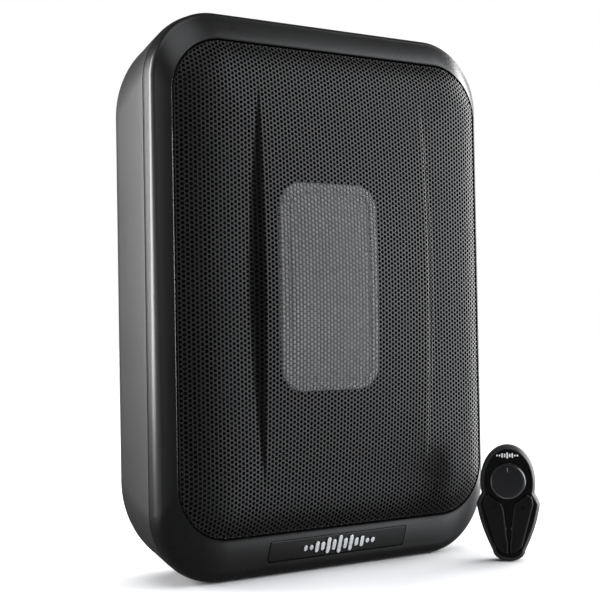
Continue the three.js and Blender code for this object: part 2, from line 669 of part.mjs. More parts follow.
function addRemote() {
  const rim = loft(
    [
      remoteRing(0, -GAP / 2),
      remoteRing(0, -4.4),
      remoteRing(1.3, -6.5),
      remoteRing(2.4, -6.5),
      remoteRing(2.4, -GAP / 2),
    ],
    true,
  );
  piece(remote, "remote_front_shell", rim, SATIN_BLACK);

  const cup = loft([
    remoteRing(2.2, 7.5),
    remoteRing(0, 5),
    remoteRing(0, GAP / 2),
    remoteRing(1.8, GAP / 2),
    remoteRing(1.8, 5),
    remoteRing(3.4, 5.8),
  ]);
  const jackWindow = block([-4.4, 3, 10.6], [4.4, 9, 19.4]);
  piece(remote, "remote_rear_shell", cut(cup, jackWindow), SATIN_BLACK);

  const face = plate(remoteOutline(2.4 + GAP), -6.2, -4.2);
  const windows = [1, -1].map((side) => plate(offset(keyOutline(side), -0.4), -9, -2));
  const shaftHole = rodY(3.3, -9, -2, 0, REMOTE_KNOB.z);
  piece(remote, "remote_face_panel", cut(face, ...windows, shaftHole), GLOSS_BLACK);

  const knob = [
    [0, REMOTE_KNOB.front + 0.6], [10.4, REMOTE_KNOB.front], [11.2, REMOTE_KNOB.front + 0.4],
    [REMOTE_KNOB.radius, REMOTE_KNOB.back - 1], [REMOTE_KNOB.radius, REMOTE_KNOB.back],
    [2.9, REMOTE_KNOB.back], [2.9, -4.2], [0, -4.2],
  ];
  piece(remote, "remote_knob", turnedY(knob, 0, REMOTE_KNOB.z), SPUN_METAL);
  piece(remote, "remote_potentiometer", rodY(8, -3.9, 0.3, 0, REMOTE_KNOB.z), STEEL);
  piece(remote, "remote_board", block([-10.5, 0.6, 24], [10.5, 2, 62]), BOARD_GREEN);
  for (const [side, word] of [[-1, "minus"], [1, "plus"]]) {
    piece(remote, `remote_${word}_key`, plate(keyOutline(side), -7.6, -4.6), MATT_BLACK);
    const x = side * 9;
    piece(remote, `remote_${word}_switch`, block([x - 3, -3.4, 27], [x + 3, 0.3, 33]), MATT_BLACK);
  }
  const jack = cut(block([-4.1, -3.6, 10.9], [4.1, 7, 19.1]), rodY(1.8, -2, 9, 0, 15, 14));
  piece(remote, "remote_jack", jack, MATT_BLACK);

  remote.position.set(REMOTE.x, REMOTE.y, 0);
  remote.rotation.z = THREE.MathUtils.degToRad(REMOTE.turnDeg);
}

// ---------------------------------------------------------------- assembly

piece(subwoofer, "front_bezel", frontBezel(), SATIN_BLACK);
piece(subwoofer, "rear_housing", rearHousing(), SATIN_BLACK);
piece(subwoofer, "grille", grilleSheet(), GRILLE_BLACK);
piece(subwoofer, "badge_plate", badgeSlab(0), SATIN_BLACK);

const emblemOutline = [[-27, 0], [-23, -4], [23, -4], [27, 0], [23, 4], [-23, 4]];
const emblem = piece(subwoofer, "badge_emblem", plate(emblemOutline, -0.9, 0), ALUMINIUM);
emblem.rotation.x = THREE.MathUtils.degToRad(BADGE.tiltDeg);
emblem.position.set(...badgePoint(GAP));

piece(subwoofer, "basket", basket(), STEEL);
piece(subwoofer, "gasket", gasket(), RUBBER);
piece(subwoofer, "surround", surround(), RUBBER);
piece(subwoofer, "spider", spider(), SPIDER_CLOTH);
piece(subwoofer, "cone", cone(), MATT_BLACK);
piece(subwoofer, "centre_plate", centrePlate(), DIAPHRAGM);
piece(subwoofer, "voice_coil", tubeY(COIL_RADIUS + 1.2, COIL_RADIUS, -17.1, 4), COPPER);
piece(subwoofer, "top_plate", tubeY(52, COIL_RADIUS + 2, MOTOR_Y + GAP, 5.5), STEEL);
piece(subwoofer, "magnet", tubeY(60, 30, 5.8, 19.9), FERRITE);
piece(subwoofer, "back_plate", backPlate(), STEEL);
const terminals = block([-10, MOTOR_Y + GAP, DRIVER_Z - 61], [10, 4, DRIVER_Z - 53.5]);
piece(subwoofer, "terminal_strip", terminals, MATT_BLACK);
driverScrewPlaces().forEach(([x, z], i) => {
  const screw = screwAlongY(3.2, FLANGE_FRONT_Y - GAP - 2, FLANGE_FRONT_Y - GAP, -19.5, x, z);
  piece(subwoofer, `driver_screw_${i + 1}`, screw, STEEL);
});

addAmplifier();
addControls();

HOUSING_SCREWS.forEach(([x, z], i) => {
  const [under, top] = [BACK_Y - 3.3, BACK_Y - 1];
  const section = [[0, -20], [1.4, -20], [1.4, under], [3.6, under], [3.6, top], [0, top]];
  piece(subwoofer, `housing_screw_${i + 1}`, turnedY(section, x, z, 12), STEEL);
});
[[-92, 64], [92, 64], [-92, 278], [92, 278]].forEach(([x, z], i) => {
  piece(subwoofer, `rear_foot_${i + 1}`, rodY(9, BACK_Y + GAP, BACK_Y + 2.5, x, z, 24), RUBBER);
});

addRemote();
subwoofer.add(remote);

export default subwoofer;
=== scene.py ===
import bmesh
import bpy
import numpy as np
from mathutils import Matrix, Vector


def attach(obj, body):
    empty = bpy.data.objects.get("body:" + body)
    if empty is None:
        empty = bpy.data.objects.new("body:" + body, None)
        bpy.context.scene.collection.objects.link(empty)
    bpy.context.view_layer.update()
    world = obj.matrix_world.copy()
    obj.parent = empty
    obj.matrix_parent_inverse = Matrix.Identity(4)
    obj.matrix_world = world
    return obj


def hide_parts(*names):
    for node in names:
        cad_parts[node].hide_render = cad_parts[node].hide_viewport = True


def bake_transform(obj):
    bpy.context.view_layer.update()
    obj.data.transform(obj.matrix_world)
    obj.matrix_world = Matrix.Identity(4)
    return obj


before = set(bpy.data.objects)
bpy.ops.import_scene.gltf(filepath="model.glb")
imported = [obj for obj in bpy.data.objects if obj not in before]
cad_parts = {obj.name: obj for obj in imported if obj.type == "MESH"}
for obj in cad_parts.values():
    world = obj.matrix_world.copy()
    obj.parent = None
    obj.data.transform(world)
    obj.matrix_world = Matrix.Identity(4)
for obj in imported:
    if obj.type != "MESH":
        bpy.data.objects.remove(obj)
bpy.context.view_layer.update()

# ---------------------------------------------------------------- camera
# A short telephoto lens, a little below mid-height, looking at the grille from its left.
# The camera is a hair off level, as a hand-set tripod head is.
yaw, pitch, roll = np.radians([33.3074, 1.2315, -1.0013])
ahead = Vector((np.sin(yaw) * np.cos(pitch), np.cos(yaw) * np.cos(pitch), np.sin(pitch)))
level = Vector((np.cos(yaw), -np.sin(yaw), 0))
above = level.cross(ahead)
right = level * np.cos(roll) + above * np.sin(roll)
top = above * np.cos(roll) - level * np.sin(roll)
camera = bpy.data.objects.new("camera", bpy.data.cameras.new("camera"))
camera.data.lens = 76.316
camera.data.sensor_width = 36
camera.data.clip_end = 100
camera.matrix_world = Matrix(
    [
        [right.x, top.x, -ahead.x, -0.461514],
        [right.y, top.y, -ahead.y, -0.695306],
        [right.z, top.z, -ahead.z, 0.153091],
        [0, 0, 0, 1],
    ]
)
bpy.context.scene.collection.objects.link(camera)
bpy.context.scene.camera = camera

# ---------------------------------------------------------------- studio
# A plain pale table under a broad overhead light, neither of which the gloss sees. The sheen on the
# black comes from soft spots in the surroundings, placed for this camera, and from three panels.


def adder(tree):
    """A helper that adds a node to this tree and sets its values, or links the sockets among them."""

    def add(kind, inputs=(), **settings):
        node = tree.nodes.new(kind)
        for key, value in settings.items():
            setattr(node, key, value)
        for key, value in dict(inputs).items():
            if isinstance(value, bpy.types.NodeSocket):
                tree.links.new(value, node.inputs[key])
            else:
                node.inputs[key].default_value = value
        return node

    return add


def nodes_of(material):
    """The helper for the emptied node tree of a material or world."""
    material.use_nodes = True
    material.node_tree.nodes.clear()
    return adder(material.node_tree)


sky = bpy.data.worlds.new("studio")
bpy.context.scene.world = sky
add = nodes_of(sky)
direction = add("ShaderNodeTexCoord").outputs["Generated"]


def soft_spot(towards, inner, outer, strength):
    """Brightness of a round soft patch of the surroundings, full within `inner` degrees of `towards`."""
    centre = Vector(towards).normalized()
    near = add("ShaderNodeVectorMath", {0: direction, 1: centre}, operation="DOT_PRODUCT")
    edges = {"From Min": np.cos(np.radians(outer)), "From Max": np.cos(np.radians(inner)), "To Max": strength}
    return add(
        "ShaderNodeMapRange", {"Value": near.outputs["Value"], **edges}, interpolation_type="SMOOTHSTEP"
    ).outputs["Result"]


SPOTS = [
    ((0.78, -0.62, 0.33), 10, 34, 4.4),  # front right, raised
    ((0.72, -0.7, -0.18), 8, 30, 3.9),  # front right, below the table's level
    ((-0.15, -0.55, 0.82), 4, 28, 1.3),  # overhead and to the front
    ((-0.95, 0.2, 0.3), 6, 44, 0.8),  # left
    ((0.97, 0.2, 0.05), 8, 40, 0.7),  # right
]
glow = 0.07
for spot in SPOTS:
    glow = add("ShaderNodeMath", {0: soft_spot(*spot), 1: glow}, operation="ADD").outputs[0]
dim = add("ShaderNodeBackground", {"Color": (0.95, 0.97, 1, 1), "Strength": glow})
white = add("ShaderNodeBackground", {"Color": (1, 1, 1, 1), "Strength": 1.0})
seen = add("ShaderNodeLightPath").outputs["Is Camera Ray"]
both = add("ShaderNodeMixShader", {0: seen, 1: dim.outputs[0], 2: white.outputs[0]})
add("ShaderNodeOutputWorld", {"Surface": both.outputs[0]})
bpy.context.scene.view_settings.view_transform = "Standard"

half = 8.0
table_mesh = bpy.data.meshes.new("table")
corners = [(-half, -half, -0.0001), (half, -half, -0.0001), (half, half, -0.0001), (-half, half, -0.0001)]
table_mesh.from_pydata(corners, [], [(0, 1, 2, 3)])
table = bpy.data.objects.new("table", table_mesh)
bpy.context.scene.collection.objects.link(table)
table_paint = bpy.data.materials.new("table_paint")
add = nodes_of(table_paint)
paint = add("ShaderNodeBsdfPrincipled", {"Base Color": (0.9, 0.9, 0.91, 1), "Roughness": 0.55})
add("ShaderNodeOutputMaterial", {"Surface": paint.outputs[0]})
table_mesh.materials.append(table_paint)
table.visible_glossy = False


def panel(name, towards, distance, width, height, power):
    """A soft light panel, `distance` from the middle of the object in the direction `towards`, facing it."""
    lamp = bpy.data.lights.new(name, "AREA")
    lamp.shape = "RECTANGLE"
    lamp.size, lamp.size_y = width, height
    lamp.energy = power
    light = bpy.data.objects.new(name, lamp)
    direction = Vector(towards).normalized()
    light.location = direction * distance + Vector((0, 0, 0.17))
    light.rotation_euler = direction.to_track_quat("Z", "Y").to_euler()
    light.visible_camera = False
    bpy.context.scene.collection.objects.link(light)


sun = bpy.data.lights.new("overhead", "SUN")
sun.energy = 3.1
sun.angle = np.radians(75)
overhead = bpy.data.objects.new("overhead", sun)
overhead.rotation_euler = np.radians([-12, 10, 0])
overhead.visible_glossy = False
bpy.context.scene.collection.objects.link(overhead)

panel("left_back", (-0.78, 0.6, 0.24), 1.3, 0.55, 0.9, 20)
panel("right_side", (0.98, 0.0, 0.15), 1.4, 0.7, 1.3, 20)
panel("front_right", (0.8, -0.58, 0.3), 1.6, 0.8, 1.3, 6)

# ---------------------------------------------------------------- rear housing
# The deep rear tub, one injection moulding in satin black ABS with a fine spark-eroded grain.
# Its mouth meets the bezel at the seam. The end wall has the well for the controls, and the back
# has a window for the heat sink and four sunk screw holes.

BODY = np.array([250, 345, 44, 172.5])  # width, height, corner radius and centre height, in mm
REAR = np.array([250, 345, 60, 172.5])  # the same outline where the rear roll starts
SIDE_CROWN = 1.3  # the sides bow in this far from the seam to the rear roll
WALL = 3
FULL_Y = -19.5
SEAM_Y = -17
REAR_ROLL_Y = 19.5
REAR_ROLL = 16
BACK_Y = REAR_ROLL_Y + REAR_ROLL
WELL = {"width": 150.6, "depth": 28.6, "middle": 3, "floor": 333}
SINK = {"half": 74, "low": 248, "high": 322}
SCREWS = [(-95, 36), (95, 36), (-95, 309), (95, 309)]


def rounded(width, depth, radius, arc=8, side=2):
    """Points round a rectangle centred on zero: four quarter circles, and its sides divided evenly."""
    radius = max(radius, 1e-3)
    a = np.radians(np.linspace(0, 90, arc + 1))
    quarter = radius * np.stack([np.cos(a), np.sin(a)], 1)
    points = []
    for k, (sx, sy) in enumerate([(1, 1), (-1, 1), (-1, -1), (1, -1)]):
        c, s = [(1, 0), (0, 1), (-1, 0), (0, -1)][k]
        turned_quarter = quarter @ np.array([[c, s], [-s, c]])
        points.append(turned_quarter + [sx * (width / 2 - radius), sy * (depth / 2 - radius)])
    parts = []
    t = np.arange(1, side)[:, None] / side
    for k in range(4):
        parts += [points[k], points[k][-1] + t * (points[(k + 1) % 4][0] - points[k][-1])]
    return np.concatenate(parts)


def inset(edge, by):
    """The rounded rectangle `edge` with every side moved inwards by `by`."""
    return edge - np.array([2 * by, 2 * by, by, 0])


def ring(edge, y, arc=26, side=8):
    """Points round the upright rounded rectangle `edge` in the plane at y."""
    flat = rounded(edge[0], edge[1], edge[2], arc, side)
    return np.stack([flat[:, 0], np.full(len(flat), y), flat[:, 1] + edge[3]], 1)


def skin(rings, loop=False):
    """Faces from each ring to the next, with a flat cap on each end, or in a loop with no caps."""
    rings = np.asarray(rings, float)
    count, around = rings.shape[:2]
    start = np.arange(count if loop else count - 1)[:, None] * around
    after = (start + around) % (count * around)
    here = np.arange(around)
    beyond = np.roll(here, -1)
    quads = np.stack([start + here, start + beyond, after + beyond, after + here], -1)
    faces = quads.reshape(-1, 4).tolist()
    if not loop:
        faces += [here[::-1].tolist(), (here + (count - 1) * around).tolist()]
    return rings.reshape(-1, 3), faces


def together(*shapes):
    """Several (points, faces) shapes as one."""
    points, faces, base = [], [], 0
    for shape_points, shape_faces in shapes:
        points.append(shape_points)
        faces += [[i + base for i in face] for face in shape_faces]
        base += len(shape_points)
    return np.concatenate(points), faces


def unit(vectors):
    """Each vector at a length of one."""
    return vectors / np.maximum(np.linalg.norm(vectors, axis=-1, keepdims=True), 1e-9)


def eased(profile, radius=0.4, steps=3, loop=False):
    """A profile with each corner swapped for a small parabola that starts and ends `radius` from it."""
    p = np.asarray(profile, float)

    def towards(other):
        gap = other - p
        length = np.maximum(np.linalg.norm(gap, axis=1, keepdims=True), 1e-9)
        return p + gap / length * np.minimum(radius, 0.45 * length)

    t = np.linspace(0, 1, steps + 1)[None, :, None]
    a, b = towards(np.roll(p, 1, 0))[:, None], towards(np.roll(p, -1, 0))[:, None]
    arcs = (1 - t) ** 2 * a + 2 * t * (1 - t) * p[:, None] + t**2 * b
    if loop:
        return arcs.reshape(-1, 2)
    return np.concatenate([p[:1], arcs[1:-1].reshape(-1, 2), p[-1:]])


def turned(section, centre, axis="z", segments=48, loop=False):
    """A profile of (radius, height) points carried round an axis along z or y through `centre`."""
    angle = np.arange(segments) * 2 * np.pi / segments
    radius, height = np.asarray(section, float).T[:, :, None]
    rings = np.stack([radius * np.cos(angle), radius * np.sin(angle), height + 0 * angle], -1)
    if axis == "y":
        rings = rings[..., [0, 2, 1]]
    return skin(rings + np.array(centre), loop)


def block(low, high, corner=0.8, ease=0.3, axis="z", flare=0.0):
    """A bar between two corners: rounded along its axis, with eased ends, and its far end flared."""
    low, high = np.array(low, float), np.array(high, float)
    order = {"z": [0, 1, 2], "y": [0, 2, 1]}[axis]
    size, middle = (high - low)[order], ((high + low) / 2)[order]
    a = np.radians([0, 30, 60, 90])
    ends = [(ease * (1 - np.sin(t)), -size[2] / 2 + ease * (1 - np.cos(t))) for t in a]
    if flare:
        ends += [(0, size[2] / 2 - flare)]
        ends += [(-flare * (1 - np.cos(t)), size[2] / 2 - flare * (1 - np.sin(t))) for t in a[1:]]
    else:
        ends += [(by, -h) for by, h in reversed(ends)]
    rings = []
    for by, h in ends:
        flat = rounded(size[0] - 2 * by, size[1] - 2 * by, corner - by, 5, 2)
        rings.append(np.column_stack([flat, np.full(len(flat), h)]))
    points, faces = skin(rings)
    return (points + middle)[:, np.argsort(order)], faces


def body_mesh(name, shape):
    """A mesh of a (points, faces) shape in millimetres, in metres and with its faces outwards."""
    mesh = bpy.data.meshes.new(name)
    mesh.from_pydata((np.asarray(shape[0]) / 1000).tolist(), [], shape[1])
    work = bmesh.new()
    work.from_mesh(mesh)
    if work.calc_volume(signed=True) < 0:
        bmesh.ops.reverse_faces(work, faces=work.faces)
    work.to_mesh(mesh)
    work.free()
    return mesh


def piece(name, shape, finish, body, slot, *nodes, sharp=38, extra=()):
    """A piece of the object: a shape with its finish, on its body, standing for its CAD nodes."""
    obj = bpy.data.objects.new(name, body_mesh(name, shape))
    bpy.context.scene.collection.objects.link(obj)
    for material in (finish, *extra):
        obj.data.materials.append(material)
    settle(obj, sharp)
    if body:
        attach(obj, body)
    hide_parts(*nodes)
    return obj


def face_values(obj, kind):
    """The x, y and z of every face's "center", in metres, or "normal"."""
    values = np.empty(len(obj.data.polygons) * 3)
    obj.data.polygons.foreach_get(kind, values)
    return values.reshape(-1, 3).T


def second_finish(obj, where):
    """Gives the faces picked out by `where` the object's second material."""
    obj.data.polygons.foreach_set("material_index", where.astype(np.int32))


def settle(obj, sharp=38):
    """Smooth shading that breaks at edges over `sharp` degrees, with flats kept flat."""
    obj.data.polygons.foreach_set("use_smooth", np.ones(len(obj.data.polygons), bool))
    obj.data.set_sharp_from_angle(angle=np.radians(sharp))
    if not obj.modifiers:
        flats = obj.modifiers.new("flats", "WEIGHTED_NORMAL")
        flats.keep_sharp = True


def carve(obj, shape, way="DIFFERENCE"):
    """Cuts a closed shape out of the object, or joins it on, and keeps the result in its mesh."""
    tool = bpy.data.objects.new("tool", body_mesh("tool", shape))
    bpy.context.scene.collection.objects.link(tool)
    step = obj.modifiers.new("carve", "BOOLEAN")
    step.operation = way
    step.solver = "EXACT"
    step.use_self = way == "UNION"
    step.object = tool
    others = [m for m in obj.modifiers if m != step]
    for modifier in others:
        modifier.show_viewport = False
    bpy.context.view_layer.update()
    seen_by = bpy.context.evaluated_depsgraph_get()
    result = bpy.data.meshes.new_from_object(obj.evaluated_get(seen_by), depsgraph=seen_by)
    obj.modifiers.remove(step)
    for modifier in others:
        modifier.show_viewport = True
    result.name = obj.data.name
    obj.data = result
    bpy.data.objects.remove(tool)
    settle(obj)


SURFACE = {"Colour": "Color", "Roughness": "Float", "Normal": "Vector"}  # what every effect puts out


def effect(name, build, **own):
    """A shader node group: colour, roughness and its own inputs to a surface, as `build` makes it."""
    group = bpy.data.node_groups.new(name, "ShaderNodeTree")
    for label, kind in {"Colour": "Color", "Roughness": "Float", **own}.items():
        group.interface.new_socket(label, in_out="INPUT", socket_type="NodeSocket" + kind)
    for label, kind in SURFACE.items():
        group.interface.new_socket(label, in_out="OUTPUT", socket_type="NodeSocket" + kind)
    given = group.nodes.new("NodeGroupInput")
    out = group.nodes.new("NodeGroupOutput")
    for socket, label in zip(build(adder(group), given.outputs), SURFACE):
        group.links.new(socket, out.inputs[label])
    return group


def spread(add, value, low, high):
    """The middle of a noise's range stretched to run from `low` to `high`."""
    ends = {"From Min": 0.3, "From Max": 0.7, "To Min": low, "To Max": high}
    return add("ShaderNodeMapRange", {"Value": value, **ends}).outputs[0]


def build_grain(add, given):
    """Moulded surface: fine two-scale pitting, with slow patches of colour and gloss over it."""
    place = add("ShaderNodeTexCoord").outputs["Object"]
    fine = add("ShaderNodeTexNoise", {"Vector": place, "Scale": given["Scale"], "Detail": 3.0})
    cloud = add("ShaderNodeTexNoise", {"Vector": place, "Scale": 14.0, "Detail": 4.0})
    tone, speck = spread(add, cloud.outputs["Fac"], 0.86, 1.14), spread(add, fine.outputs["Fac"], 0.9, 1.1)
    both = add("ShaderNodeMath", {0: tone, 1: speck}, operation="MULTIPLY")
    colour = add("ShaderNodeVectorMath", {0: given["Colour"], "Scale": both.outputs[0]}, operation="SCALE")
    patchy = add("ShaderNodeMath", {0: cloud.outputs["Fac"], 1: 0.14, 2: -0.07}, operation="MULTIPLY_ADD")
    rough = add("ShaderNodeMath", {0: given["Roughness"], 1: patchy.outputs[0]}, operation="ADD")
    bump = add(
        "ShaderNodeBump", {"Strength": given["Relief"], "Distance": 0.0001, "Height": fine.outputs["Fac"]}
    )
    return colour.outputs[0], rough.outputs[0], bump.outputs["Normal"]


GRAIN = effect("moulded_grain", build_grain, Scale="Float", Relief="Float")


def finish(name, group, values, **uniform):
    """A material: one shader whose colour, roughness and normal come from an effect group."""
    material = bpy.data.materials.new(name)
    add = nodes_of(material)
    surface = add("ShaderNodeGroup", node_tree=group)
    for key, value in values.items():
        surface.inputs[key].default_value = value
    shader = add(
        "ShaderNodeBsdfPrincipled",
        {
            "Base Color": surface.outputs["Colour"],
            "Roughness": surface.outputs["Roughness"],
            "Normal": surface.outputs["Normal"],
            **{key.replace("_", " "): value for key, value in uniform.items()},
        },
    )
    add("ShaderNodeOutputMaterial", {"Surface": shader.outputs[0]})
    return material


def moulded(name, grey, roughness, scale=2600.0, relief=0.35, tint=(1, 1, 1.03), **uniform):
    """A moulded or painted finish of an even grey, with grain at `scale` cells a metre."""
    colour = (*(grey * np.array(tint)), 1)
    values = {"Colour": colour, "Roughness": roughness, "Scale": scale, "Relief": relief}
    return finish(name, GRAIN, values, **uniform)


def bowed(points, back_share):
    """A ring narrowed by the sides' bow, at this share of the way from the seam to the rear roll."""
    return points * [1 - SIDE_CROWN * back_share**2 / (BODY[0] / 2), 1, 1]


HOUSING_BLACK = moulded("housing_black", 0.02, 0.42, 2200.0, 0.5)

roll = np.radians(np.linspace(90, 0, 13))
outer = []
for a in roll:
    outline = inset(REAR, REAR_ROLL * (1 - np.cos(a)))
    outer.append(bowed(ring(outline, REAR_ROLL_Y + REAR_ROLL * np.sin(a)), 1))
for y in np.linspace(REAR_ROLL_Y, -16.1, 9)[1:]:
    back_share = 1 - (REAR_ROLL_Y - y) / (REAR_ROLL_Y - SEAM_Y)
    outer.append(bowed(ring(BODY + (REAR - BODY) * back_share, y), back_share))
outer += [ring(inset(BODY, 0.12), -16.6), ring(inset(BODY, 0.4), SEAM_Y + 0.15)]
inside = [ring(inset(BODY, WALL), SEAM_Y + 0.15)]
roll = np.radians(np.linspace(0, 90, 7))
inner_roll = REAR_ROLL - WALL
inside += [
    ring(inset(REAR, WALL + inner_roll * (1 - np.cos(a))), REAR_ROLL_Y + inner_roll * np.sin(a)) for a in roll
]
housing = piece(
    "rear_tub", skin([*outer, *inside]), HOUSING_BLACK, "enclosure", "satin_black_plastic", "rear_housing"
)


def well_box(grow, low, high, corner, flare=0.0):
    """The controls' well as a block, grown sideways by `grow`."""
    x, y = WELL["width"] / 2 + grow, WELL["depth"] / 2 + grow
    return block((-x, WELL["middle"] - y, low), (x, WELL["middle"] + y, high), corner, 0.0, "z", flare)


carve(housing, well_box(3, WELL["floor"] - 0.5, 344, 5), "UNION")
carve(housing, well_box(0, WELL["floor"] - 2, 345.02, 2.2, 1.0))
window_low = (-SINK["half"] - 0.3, BACK_Y - 6, SINK["low"] - 0.3)
window_high = (SINK["half"] + 0.3, BACK_Y + 0.02, SINK["high"] + 0.3)
carve(housing, block(window_low, window_high, 2.0, 0.0, "y", 0.8))
sunk = [(1.8, 10), (1.8, BACK_Y - 3.6), (4.2, BACK_Y - 3.6), (4.2, BACK_Y - 0.6), (4.9, BACK_Y + 0.05)]
carve(housing, together(*[turned(sunk, (x, 0, z), "y", 40) for x, z in SCREWS]))

# ---------------------------------------------------------------- front bezel
# The front moulding, in the same satin black. It folds at its full outline just in front of the
# seam and rolls forward to the mouth that holds the grille, and carries the baffle inside.

GRILLE = np.array([229, 297.6, 33, 177])
OPENING = inset(GRILLE, -1)
GRILLE_EDGE_Y = -36.5
BAFFLE_FRONT_Y = -24
BAFFLE_BACK_Y = -21
DRIVER_HOLE = np.array([190, 254, 62, 177])
FOLD_INWARD, FOLD_FORWARD = 0.06, 0.45  # shares of the way from the full outline to the mouth
FACE_CROWN = 0.25


def face_share(t):
    """Inward and forward shares at t up the bezel's slightly crowned face, from its fold to its mouth."""
    forward = FOLD_FORWARD + (1 - FOLD_FORWARD) * (t + FACE_CROWN * t * (1 - t))
    return FOLD_INWARD + (1 - FOLD_INWARD) * t, forward


def bezel_ring(inward, forward):
    """The bezel's ring at these shares of the way from its full outline to its mouth."""
    return ring(BODY + (OPENING - BODY) * inward, FULL_Y + (GRILLE_EDGE_Y - FULL_Y) * forward)


BEZEL_BLACK = moulded("bezel_black", 0.005, 0.28, 2400.0, 0.3, Specular_IOR_Level=0.68)
# Inside of the mouth and the baffle: black plastic, darker and duller than the bezel, as painted shade behind
# the grille.
INNER_BLACK_AND_SHADE = moulded("inner_black", 0.003, 0.9, 900.0, 0.6, Specular_IOR_Level=0.1)

section = [ring(inset(BODY, 0.4), SEAM_Y - 0.15), ring(inset(BODY, 0.1), -17.5), ring(BODY, -18.0)]
section += [bezel_ring(FOLD_INWARD * share * 0.35, FOLD_FORWARD * share) for share in np.linspace(0, 0.3, 4)]
fold_tip = bezel_ring(FOLD_INWARD * 0.6, FOLD_FORWARD * 1.05)
crisp = np.clip((fold_tip[:, 2:] - 90) / 230, 0, 1)  # the fold tightens from 90 mm up to 320 mm
SOFT, TIGHT, FACE_END = 0.28, 0.12, 0.965  # how far up the face the fold reaches, and the face's end


def face_ring(t):
    """The ring at t up the face, past a fold that is soft at the lower end and tight at the upper."""
    soft, tight = (reach + (FACE_END - reach) * t for reach in (SOFT, TIGHT))
    return bezel_ring(*face_share(soft)) * (1 - crisp) + bezel_ring(*face_share(tight)) * crisp


fold_base, fold_end = bezel_ring(0, 0), face_ring(0)
fold_start = fold_base + (bezel_ring(FOLD_INWARD * 0.35, FOLD_FORWARD) - fold_base) * (0.42 + 0.36 * crisp)
for t in np.linspace(0, 1, 11):
    section.append((1 - t) ** 2 * fold_start + 2 * t * (1 - t) * fold_tip + t**2 * fold_end)
section += [face_ring(t) for t in np.linspace(0.06, 1, 16)]
section += [ring(inset(OPENING, -0.25), GRILLE_EDGE_Y - 0.03), ring(OPENING, GRILLE_EDGE_Y + 0.2)]
section += [ring(OPENING, y) for y in (GRILLE_EDGE_Y + 0.8, -30, BAFFLE_FRONT_Y)]
section += [ring(DRIVER_HOLE, BAFFLE_FRONT_Y), ring(DRIVER_HOLE, BAFFLE_BACK_Y)]
section += [ring(inset(BODY, WALL), BAFFLE_BACK_Y), ring(inset(BODY, WALL), SEAM_Y - 0.15)]
bezel = piece(
    "bezel", skin(section, loop=True), BEZEL_BLACK, "enclosure", "satin_black_plastic", "front_bezel",
    extra=(INNER_BLACK_AND_SHADE,),
)

# The faces turned towards the mouth's middle and those of the baffle take the matt inner finish: black
# plastic, made darker and duller than the bezel as painted shade, so that no light shows behind the grille.
x, y, z = face_values(bezel, "center")
facing_x, _, facing_z = face_values(bezel, "normal")
walls = facing_x * x * 1.9 + facing_z * (z - BODY[3] / 1000) < -0.004
baffle = (y > -0.03) & (np.abs(x) < 0.11) & (np.abs(z - GRILLE[3] / 1000) < 0.145)
second_finish(bezel, walls | baffle)

# ---------------------------------------------------------------- badge and emblem
# A separate satin black plate let into the lower face, with a fine gap round it. The emblem is a
# plain row of brushed bars that rise and fall about the middle, pressed on through the plate.

BADGE = {"half": 52, "low": 9.6, "high": 22.6}
EMBLEM_Z = 16.2


def lower_face(x, z, out):
    """Points on the bezel's lower face at height z, `out` mm in front of it along its slope's normal."""
    mouth = OPENING[3] - OPENING[1] / 2

    def surface(height):
        _, forward = face_share((height / mouth - FOLD_INWARD) / (1 - FOLD_INWARD))
        return FULL_Y + (GRILLE_EDGE_Y - FULL_Y) * forward

    z = np.asarray(z, float)
    y = surface(z)
    slope = (surface(z + 0.2) - y) / 0.2
    length = np.sqrt(1 + slope**2)
    return np.stack([x + 0 * z, y - out / length, z + out * slope / length], -1)


def laid_on_face(flat, front, back, ease=0.25):
    """A plate of the outline `flat` in (x, z), laid on the lower face, with an eased front edge."""
    middle = flat.mean(0)
    size = np.abs(flat - middle).max(0)
    rings = []
    for by, out in [(0, back), (0, front - ease), (0.3 * ease, front - 0.3 * ease), (ease, front)]:
        shrunk = middle + (flat - middle) * (1 - by / size)
        rings.append(lower_face(shrunk[:, 0], shrunk[:, 1], out))
    return rings


def plate_grid(half, low, high, radius, front, back):
    """A curved plate on the face: nested outlines that close on its middle line, front and back."""
    tall = (high - low) / 2
    shape = [(0.03, back), (1, back), (1, front - 0.3), (0.985, front - 0.08), (0.95, front)]
    shape += [(share, front) for share in np.linspace(0.85, 0.03, 8)]
    rings = []
    for share, out in shape:
        edge = rounded(2 * (half - (1 - share) * tall), 2 * tall * share, radius * share, 6, 12)
        rings.append(lower_face(edge[:, 0], (low + high) / 2 + edge[:, 1], out))
    return skin(rings)


slot_cut = plate_grid(BADGE["half"] + 0.45, BADGE["low"] - 0.45, BADGE["high"] + 0.45, 2.0, 3.0, -1.6)
carve(bezel, slot_cut)
BADGE_BLACK = moulded("badge_black", 0.004, 0.34, 2600.0, 0.25, Specular_IOR_Level=0.35)
piece(
    "badge", plate_grid(BADGE["half"], BADGE["low"], BADGE["high"], 1.8, 0.05, -1.4),
    BADGE_BLACK, "enclosure", "badge_satin", "badge_plate",
)


def streaked(add, given, fine, low, high, strength, distance):
    """Colour scaled from `low` to `high`, gloss and relief, which all follow one fine noise."""
    tone = spread(add, fine, low, high)
    colour = add("ShaderNodeVectorMath", {0: given["Colour"], "Scale": tone}, operation="SCALE")
    vary = add("ShaderNodeMath", {0: fine, 1: 0.2, 2: -0.1}, operation="MULTIPLY_ADD")
    rough = add("ShaderNodeMath", {0: given["Roughness"], 1: vary.outputs[0]}, operation="ADD")
    bump = add("ShaderNodeBump", {"Strength": strength, "Distance": distance, "Height": fine})
    return colour.outputs[0], rough.outputs[0], bump.outputs["Normal"]


